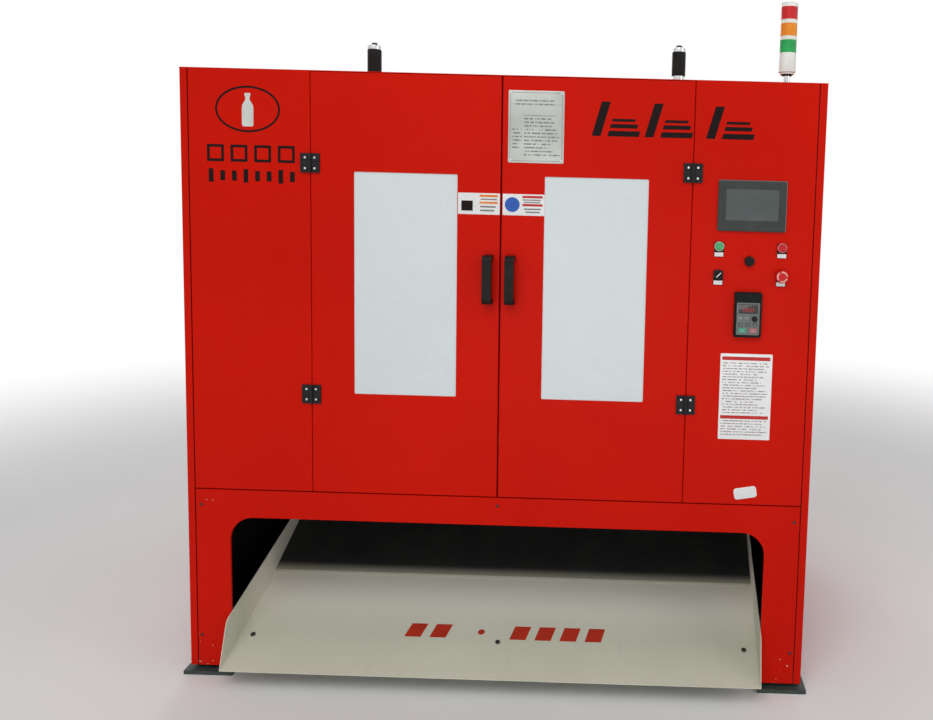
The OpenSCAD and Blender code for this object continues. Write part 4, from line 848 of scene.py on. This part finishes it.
cautionPlate = {
    "x": 101, "z": 1711, "width": 164, "height": 210, "corner": 4, "thick": 1.0, "edge": 0.25,
    "rim": 6, "line": 1.4, "headLine": 1.0, "headUp": 0.33, "lineThick": 0.08,
    "print": {"areas": ((30, 60, 1645, 1712), (66, 172, 1622, 1745), (40, 160, 1772, 1792)),
              "pitch": 10.5, "fill": 0.4, "dash": 240, "ink": (0.10, 0.10, 0.11)},
}
rivets = {"in": 8, "radius": 2.6, "height": 1.2, "round": 0.9}


def makeCautionPlate(s):
    look = {"colour": (0.44, 0.46, 0.425), "shade": (0.38, 0.40, 0.365), "patch": 12, "stretch": (1, 1, 18),
            "rough": (0.3, 0.45), "grain": 90, "lift": 0.05, "metal": 0.35}
    metal = makeFinish("plateMetal", look, printRows(s["print"]))
    finishPiece(addSheet("caution_plate", s, s["edge"] * mm), "right_door", "fitting_steel", metal)
    face = frontY - s["thick"] * mm
    w, h = s["width"] - 2 * s["rim"], s["height"] - 2 * s["rim"]
    sides = [(s["x"], s["z"] + k * h / 2, w, s["line"]) for k in (-1, 1)]
    sides += [(s["x"] + k * w / 2, s["z"], s["line"], h - s["line"]) for k in (-1, 1)]
    sides.append((s["x"], s["z"] + h * s["headUp"], w, s["headLine"]))
    frameLines = makeBars("caution_plate_lines", sides, s["lineThick"] * mm, face)
    finishPiece(frameLines, "right_door", "fitting_steel", greyInk)
    heads = []
    for i, (sx, sz) in enumerate(((-1, -1), (1, -1), (-1, 1), (1, 1))):
        x = s["x"] + sx * (s["width"] / 2 - rivets["in"])
        z = s["z"] + sz * (s["height"] / 2 - rivets["in"])
        middle = (x * mm, face - rivets["height"] / 2 * mm, z * mm)
        head = addDisc("rivet" + str(i), middle, rivets["radius"] * mm, rivets["height"] * mm, 20)
        breakFrontEdge(head, rivets["round"] * mm, 4)
        heads.append(head)
    finishPiece(joinPieces("caution_plate_rivets", heads), "right_door", "fitting_steel", brightSteel)


makeCautionPlate(cautionPlate)

doorLabels = {
    "thick": 0.4, "width": 124, "height": 63, "z": 1482.5, "corner": 2, "disc": {"x": 34, "radius": 22},
    "left": {"x": -65, "body": "left_door", "dark": ((-100, 1476, 34, 30),),
             "orange": ((-36, 1506, 54, 7), (-36, 1486, 54, 6)),
             "grey": ((-36, 1496, 48, 4), (-38, 1474, 46, 5), (-40, 1463, 42, 5))},
    "right": {"x": 67.5, "body": "right_door", "red": ((94, 1506, 60, 7), (94, 1482, 60, 7)),
              "grey": ((92, 1497, 54, 3.5), (92, 1490, 48, 3.5), (94, 1470, 50, 4.5), (94, 1461, 42, 4.5))},
}
labelInks = {"dark": blackVinyl, "orange": orangeInk, "red": redInk, "grey": greyInk}


def makeDoorLabels(s):
    face = frontY - s["thick"] * mm
    for side in ("left", "right"):
        label = {**s, **s[side]}
        finishPiece(addSheet("label_" + side, label), label["body"], "tower_white", whitePaper)
        for colour, ink in labelInks.items():
            if colour in label:
                bars = makeBars("label_" + side + "_" + colour, label[colour], inkThick, face)
                finishPiece(bars, label["body"], "tower_white", ink)
    middle = (s["disc"]["x"] * mm, face - inkThick / 2, s["z"] * mm)
    disc = addDisc("label_right_disc", middle, s["disc"]["radius"] * mm, inkThick, 48)
    finishPiece(disc, "right_door", "tower_white", blueInk)


makeDoorLabels(doorLabels)

blankSticker = {"x": 755, "z": 628, "width": 69, "height": 35, "corner": 9, "thick": 0.4, "tilt": 10}


def makeBlankSticker(s):
    piece = addSheet("blank_sticker", s)
    turnPiece(piece, s["tilt"], (s["x"] * mm, frontY, s["z"] * mm))
    finishPiece(piece, "cabinet", "tower_white", whitePaper)


makeBlankSticker(blankSticker)

legends = {
    "places": ((649, 1376), (835, 1376), (649, 1292), (835, 1292)),
    "width": 29, "height": 44, "down": 9, "thick": 1.6, "corner": 4, "edge": 0.4,
    "hole": 12, "holeDepth": 10,
}
inserts = {"width": 26, "height": 12, "down": 24, "thick": 0.4, "corner": 0.8}


# Black holders behind the switches, each with a blank white insert under its collar
def makeLegends(s, inner):
    holders = []
    papers = []
    for i, (x, z) in enumerate(s["places"]):
        holder = addSheet("holder" + str(i), {**s, "x": x, "z": z - s["down"]}, s["edge"] * mm)
        hole = addDisc("holderHole", (x * mm, frontY, z * mm), s["hole"] * mm, s["holeDepth"] * mm, 48)
        useModifier(holder, "BOOLEAN", object=hole, operation="DIFFERENCE", solver="EXACT")
        bpy.data.objects.remove(hole)
        holders.append(holder)
        papers.append(addSheet("insert" + str(i), {**inner, "x": x, "z": z - inner["down"]},
                               back=frontY - s["thick"] * mm))
    finishPiece(joinPieces("legend_holders", holders), "cabinet", "black_plastic")
    finishPiece(joinPieces("legend_inserts", papers), "cabinet", "tower_white", whitePaper)


makeLegends(legends, inserts)
print("plates, labels and legends placed")


# Plain shapes on the panels, the right door and the chute
decalThick = 0.3 * mm
emblem = {"x": -749, "z": 1741.5, "width": 192, "height": 135, "line": 6}


# Flat oval ring
def makeEmblem(s):
    dropSelection()
    bpy.ops.mesh.primitive_circle_add(vertices=96, radius=0.5, fill_type="NOTHING",
                                      location=(0, 0, 0), rotation=(math.pi / 2, 0, 0))
    ring = newPiece("emblem_ring")
    centre = Vector((s["x"] * mm, frontY, s["z"] * mm))
    oval = Matrix.Diagonal((s["width"] * mm, 1, s["height"] * mm, 1))
    ring.data.transform(Matrix.Translation(centre) @ oval)
    pick(ring, "edges", lambda a, b: True)
    bpy.ops.mesh.extrude_edges_move()
    inner = (1 - 2 * s["line"] / s["width"], 1, 1 - 2 * s["line"] / s["height"])
    bpy.ops.transform.resize(value=inner, center_override=centre)
    leaveEdit()
    return thicken(ring)


# Gives a flat outline on the front its thickness
def thicken(piece):
    grab(piece)
    bpy.ops.object.mode_set(mode="EDIT")
    bpy.ops.mesh.select_all(action="SELECT")
    bpy.ops.mesh.remove_doubles(threshold=tiny)
    bpy.ops.mesh.extrude_region_move(TRANSFORM_OT_translate={"value": (0, -decalThick, 0)})
    bpy.ops.mesh.select_all(action="SELECT")
    bpy.ops.mesh.normals_make_consistent(inside=False)
    leaveEdit()
    return piece


finishPiece(makeEmblem(emblem), "cabinet", "black_plastic", blackVinyl)

bottleMark = {
    "x": -749, "foot": 1692, "width": 30, "footHeight": 2,
    # rise and new width of each step, from the foot to the cap
    "steps": ((3, 34), (50, 34), (7, 31), (6, 25), (5, 18), (4, 13), (11, 13), (0.1, 17), (9, 17)),
}


def makeBottleMark(s):
    dropSelection()
    bpy.ops.mesh.primitive_plane_add(size=1, location=(s["x"] * mm, frontY, s["foot"] * mm),
                                     rotation=(math.pi / 2, 0, 0))
    bpy.context.object.scale = (s["width"] * mm, s["footHeight"] * mm, 1)
    piece = newPiece("emblem_bottle")
    top = max(v.co.z for v in piece.data.vertices)
    pick(piece, "edges", lambda a, b: a.z > top - tiny and b.z > top - tiny)
    width = s["width"]
    centre = (s["x"] * mm, frontY, 0)
    for rise, wide in s["steps"]:
        bpy.ops.mesh.extrude_edges_move(TRANSFORM_OT_translate={"value": (0, 0, rise * mm)})
        bpy.ops.transform.resize(value=(wide / width, 1, 1), center_override=centre,
                                 constraint_axis=(True, False, False))
        width = wide
    leaveEdit()
    return thicken(piece)


bottlePaint = makeFinish("bottlePaint", inkLook((0.60, 0.62, 0.58)))
finishPiece(makeBottleMark(bottleMark), "cabinet", "tower_white", bottlePaint)

# Open squares, and a row of short bars under them
nameMarks = {
    "first": -846, "pitch": 70, "count": 4, "z": 1612, "size": 50, "line": 8,
    "bars": tuple((-860 + i * 34.5, 1546, 14, 30 if i % 3 else 40) for i in range(8)),
}


def makeNameBlocks(s):
    sides = []
    reach = (s["size"] - s["line"]) / 2
    for i in range(s["count"]):
        x = s["first"] + i * s["pitch"]
        sides += [(x, s["z"] + k * reach, s["size"], s["line"]) for k in (-1, 1)]
        sides += [(x + k * reach, s["z"], s["line"], s["size"] - 2 * s["line"]) for k in (-1, 1)]
    return makeBars("name_blocks", sides, decalThick, frontY)


for marks in (makeNameBlocks(nameMarks), makeBars("name_bars", nameMarks["bars"], decalThick, frontY)):
    finishPiece(marks, "cabinet", "black_plastic", blackVinyl)

# Three groups: a tall leaning bar, then three lines that get shorter towards the top
stripes = {
    "lean": 0.28, "z": 1690, "edge": 950, "tall": ((277, 100, 26), (432, 98, 26), (612, 94, 26)),
    "start": 20, "lines": ((0, 16, 92), (24, 12, 80), (43, 8, 68)),
}


def makeStripes(s):
    seamX = hinges["seamX"] / mm
    for part, body, low, high in (("door", "right_door", 0, seamX), ("panel", "cabinet", seamX, s["edge"])):
        bars = []
        for x, height, width in s["tall"]:
            if low < x < high:
                bars.append((x, s["z"] + height / 2, width, height))
                for up, thick, length in s["lines"]:
                    start = x + width / 2 + s["start"] + up * s["lean"]
                    bars.append((start + length / 2, s["z"] + up + thick / 2, length, thick))
        piece = makeBars("stripes_" + part, bars, decalThick, frontY, s["lean"])
        finishPiece(piece, body, "black_plastic", blackVinyl)


makeStripes(stripes)

chuteMotif = {
    "blocks": (-275, -195, 60, 140, 220, 300), "in": 88, "width": 52, "depth": 56, "lean": 0.2,
    "dot": -60, "dotSize": 11,
}


# Red marks painted on the chute's sloping floor
def makeChuteMotif(s):
    parts = [addLeaningBar("mark" + str(i), x * mm, 0, s["width"] * mm, s["depth"] * mm,
                           s["depth"] * s["lean"] * mm, decalThick, 0) for i, x in enumerate(s["blocks"])]
    parts.append(addDisc("dot", (s["dot"] * mm, -decalThick / 2, 0), s["dotSize"] * mm, decalThick, 24))
    piece = joinPieces("chute_motif", parts)
    # laid from upright on to the floor, then tilted with it
    lay = Matrix.Rotation(math.radians(chute["slope"]), 4, "X") @ Matrix.Rotation(-math.pi / 2, 4, "X")
    place = (0, frontY + s["in"] * mm, chuteFloorZ(s["in"]) * mm)
    piece.data.transform(Matrix.Translation(place) @ lay)
    return piece


finishPiece(makeChuteMotif(chuteMotif), "cabinet", "stop_red", motifRed)
print("decals placed")


# Details on the controls
selectorMark = {
    "x": 649, "z": 1292, "width": 2.6, "height": 19, "thick": 0.4, "corner": 1.0, "turn": 45,
}


def makeSelectorMark(s):
    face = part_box("selector_knob")[0].y
    piece = addSheet("selector_mark", s, back=face)
    turnPiece(piece, -s["turn"], (s["x"] * mm, face, s["z"] * mm))
    finishPiece(piece, "selector", "tower_white", whitePaper)


makeSelectorMark(selectorMark)

padLow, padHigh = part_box("drive_keypad")
padTop = padHigh.z
padFace = padLow.y
# Places are in millimetres from the keypad's middle line and its top, or from the display's middle
keypad = {
    "x": (padLow.x + padHigh.x) / 2 / mm,
    "display": {"drop": 18, "out": 0.2, "width": 56.4, "height": 27.4, "thick": 0.8, "corner": 1.2},
    "digit": (6.8, 11.5), "digits": (-12.5, -4, 4.5, 13), "digitDrop": 3, "stroke": 1.3, "lean": 0.08,
    "leds": {"count": 7, "first": -24, "pitch": 8, "up": 10.5, "size": (3.2, 1.6)},
    "captions": ((-23, 44, 13, 2.2), (-23, 48.5, 9, 1.6), (-4, 44, 13, 2.2), (-4, 48.5, 9, 1.6)),
}
displayGlass = makeFinish("displayGlass", {
    "colour": (0.02, 0.021, 0.021), "shade": (0.03, 0.03, 0.03), "patch": 40,
    "rough": (0.12, 0.22), "grain": 300, "lift": 0.02,
})
digitRed = makeFinish("digitRed", inkLook((0.42, 0.03, 0.025)))
ledPale = makeFinish("ledPale", inkLook((0.30, 0.33, 0.31)))


def makeKeypadFace(s):
    display = s["display"]
    z = padTop / mm - display["drop"]
    glassFace = padFace + display["out"] * mm
    glass = addSheet("drive_display", {**display, "x": s["x"], "z": z},
                     back=glassFace + display["thick"] * mm)
    finishPiece(glass, "cabinet", "screen_glass", displayGlass)
    strokes = []
    wide, high = s["digit"]
    t = s["stroke"]
    for dx in s["digits"]:
        cx, cz = s["x"] + dx, z - s["digitDrop"]
        strokes += [(cx, cz + k * high / 2, wide - t, t) for k in (-1, 0, 1)]
        strokes += [(cx + kx * wide / 2, cz + kz * high / 4, t, high / 2 - t)
                    for kx in (-1, 1) for kz in (-1, 1)]
    digits = makeBars("drive_digits", strokes, inkThick, glassFace, s["lean"])
    finishPiece(digits, "cabinet", "screen_glass", digitRed)
    row = s["leds"]
    leds = [(s["x"] + row["first"] + i * row["pitch"], z + row["up"], *row["size"])
            for i in range(row["count"])]
    captions = [(s["x"] + x, padTop / mm - drop, w, h) for x, drop, w, h in s["captions"]]
    prints = [makeBars("drive_leds", leds, inkThick, glassFace),
              makeBars("drive_captions", captions, inkThick, padFace)]
    finishPiece(joinPieces("drive_prints", prints), "cabinet", "keypad_plastic", ledPale)


makeKeypadFace(keypad)

keyMarks = {
    "left_key": ("drive_left_key", ((0, 1.2, 5.5, 1.3), (0, -1.4, 3.0, 1.3))),
    "middle_key": ("drive_middle_key", ((0, 0, 6, 1.4),)),
    "right_key": ("drive_right_key", ((0, 1.4, 3.0, 1.3), (0, -1.2, 5.5, 1.3))),
    "run_key": ("drive_run_key", ((0, 0, 9, 2.0),)),
    "stop_key": ("drive_stop_key", ((0, 1.8, 9, 1.5), (0, -1.8, 9, 1.5))),
}
for body, (node, bars) in keyMarks.items():
    low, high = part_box(node)
    placed = [((low.x + high.x) / 2 / mm + x, (low.z + high.z) / 2 / mm + z, w, h) for x, z, w, h in bars]
    finishPiece(makeBars(body + "_mark", placed, inkThick, low.y), body, "tower_white", ledPale)

towerRing = {"radius": 13 * mm, "tube": 2.5 * mm, "drop": 2.2 * mm}


# Dark gasket between the tower's pole and its white housing
def makeTowerRing(s):
    low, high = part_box("tower_housing")
    x, y = (low.x + high.x) / 2, (low.y + high.y) / 2
    dropSelection()
    bpy.ops.mesh.primitive_torus_add(major_radius=s["radius"], minor_radius=s["tube"], major_segments=48,
                                     minor_segments=12, location=(x, y, low.z - s["drop"]))
    return newPiece("tower_gasket")


finishPiece(makeTowerRing(towerRing), "cabinet", "black_plastic")

seamGasket = {"width": 1.9, "front": 527, "back": 544, "ends": 2}


# Rubber strip in the seam between the two rear panels
def makeSeamGasket(s):
    low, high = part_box("rear_panels")
    middle = (0, (s["front"] + s["back"]) / 2 * mm, (low.z + high.z) / 2)
    size = (s["width"] * mm, (s["back"] - s["front"]) * mm, high.z - low.z - 2 * s["ends"] * mm)
    return addBlock("rear_seam_gasket", middle, size)


finishPiece(makeSeamGasket(seamGasket), "cabinet", "black_plastic")
print("controls detailed")


# Floor, light and background
stage = {
    "colour": (0.80, 0.80, 0.79), "shade": (0.76, 0.76, 0.755), "patch": 1.5, "rough": 0.7, "specular": 0.2,
    "size": 60, "near": 2.4, "far": 5.5,
}


# Pale floor that fades into the white background
def makeFloor(s):
    dropSelection()
    bpy.ops.mesh.primitive_plane_add(size=s["size"], location=(0, 0, 0))
    floor = bpy.context.object
    floor.name = "studio_floor"
    material, tree, shader = newMaterial("studioFloor")
    colour = blendColours(tree, noiseAt(tree, objectSpot(tree), s["patch"], 3), s["colour"], s["shade"])
    tree.links.new(colour, shader.inputs["Base Color"])
    shader.inputs["Roughness"].default_value = s["rough"]
    shader.inputs["Specular IOR Level"].default_value = s["specular"]
    x, y = axes(tree)[:2]
    fade = smoothRise(tree, hypotenuse(tree, x, y), s["near"], s["far"])
    white = addNode(tree, "ShaderNodeEmission", {"Color": (1, 1, 1, 1), "Strength": 1.0}).outputs[0]
    mixed = addNode(tree, "ShaderNodeMixShader", links={0: calc(tree, "MULTIPLY", fade, seenRays(tree))})
    tree.links.new(shader.outputs[0], mixed.inputs[1])
    tree.links.new(white, mixed.inputs[2])
    tree.links.new(mixed.outputs[0], tree.nodes["Material Output"].inputs["Surface"])
    floor.data.materials.append(material)


sky = {"tint": (0.97, 0.985, 1, 1), "strength": 0.46}


# White where it is seen, and a softer light where it only lights
def makeWorld(s):
    world = bpy.data.worlds.new("studioWorld")
    bpy.context.scene.world = world
    world.use_nodes = True
    tree = world.node_tree
    tree.nodes.clear()
    soft = addNode(tree, "ShaderNodeBackground", {"Color": s["tint"], "Strength": s["strength"]})
    white = addNode(tree, "ShaderNodeBackground", {"Color": (1, 1, 1, 1), "Strength": 1.0})
    links = {0: seenRays(tree), 1: soft.outputs[0], 2: white.outputs[0]}
    mixed = addNode(tree, "ShaderNodeMixShader", links=links)
    out = tree.nodes.new("ShaderNodeOutputWorld")
    tree.links.new(mixed.outputs[0], out.inputs["Surface"])


# Each lamp: place, point it looks at, size, power
lamps = {
    "frontLamp": {"place": (-0.4, -3.6, 4.2), "aim": (0, -0.4, 0.5), "size": (3.4, 2.4), "power": 78},
    "sideLamp": {"place": (4.4, -2.2, 2.8), "aim": (0, 0, 0.9), "size": (2.6, 2.6), "power": 34},
    "lowLamp": {"place": (0.2, -3.6, 0.8), "aim": (0, 0, 0.35), "size": (2.8, 1.0), "power": 17},
    "backLamp": {"place": (-1.0, 4.2, 3.6), "aim": (0, 0, 1.0), "size": (3.0, 2.0), "power": 60},
}


def addLamp(name, s):
    data = bpy.data.lights.new(name, "AREA")
    data.shape = "RECTANGLE"
    data.size, data.size_y = s["size"]
    data.energy = s["power"]
    holder = bpy.data.objects.new(name, data)
    bpy.context.scene.collection.objects.link(holder)
    holder.visible_camera = False
    holder.location = s["place"]
    holder.rotation_euler = (Vector(s["aim"]) - Vector(s["place"])).to_track_quat("-Z", "Y").to_euler()


makeFloor(stage)
makeWorld(sky)
for name, settings in lamps.items():
    addLamp(name, settings)
bpy.context.scene.view_settings.view_transform = "Standard"
print("stage and lamps set")
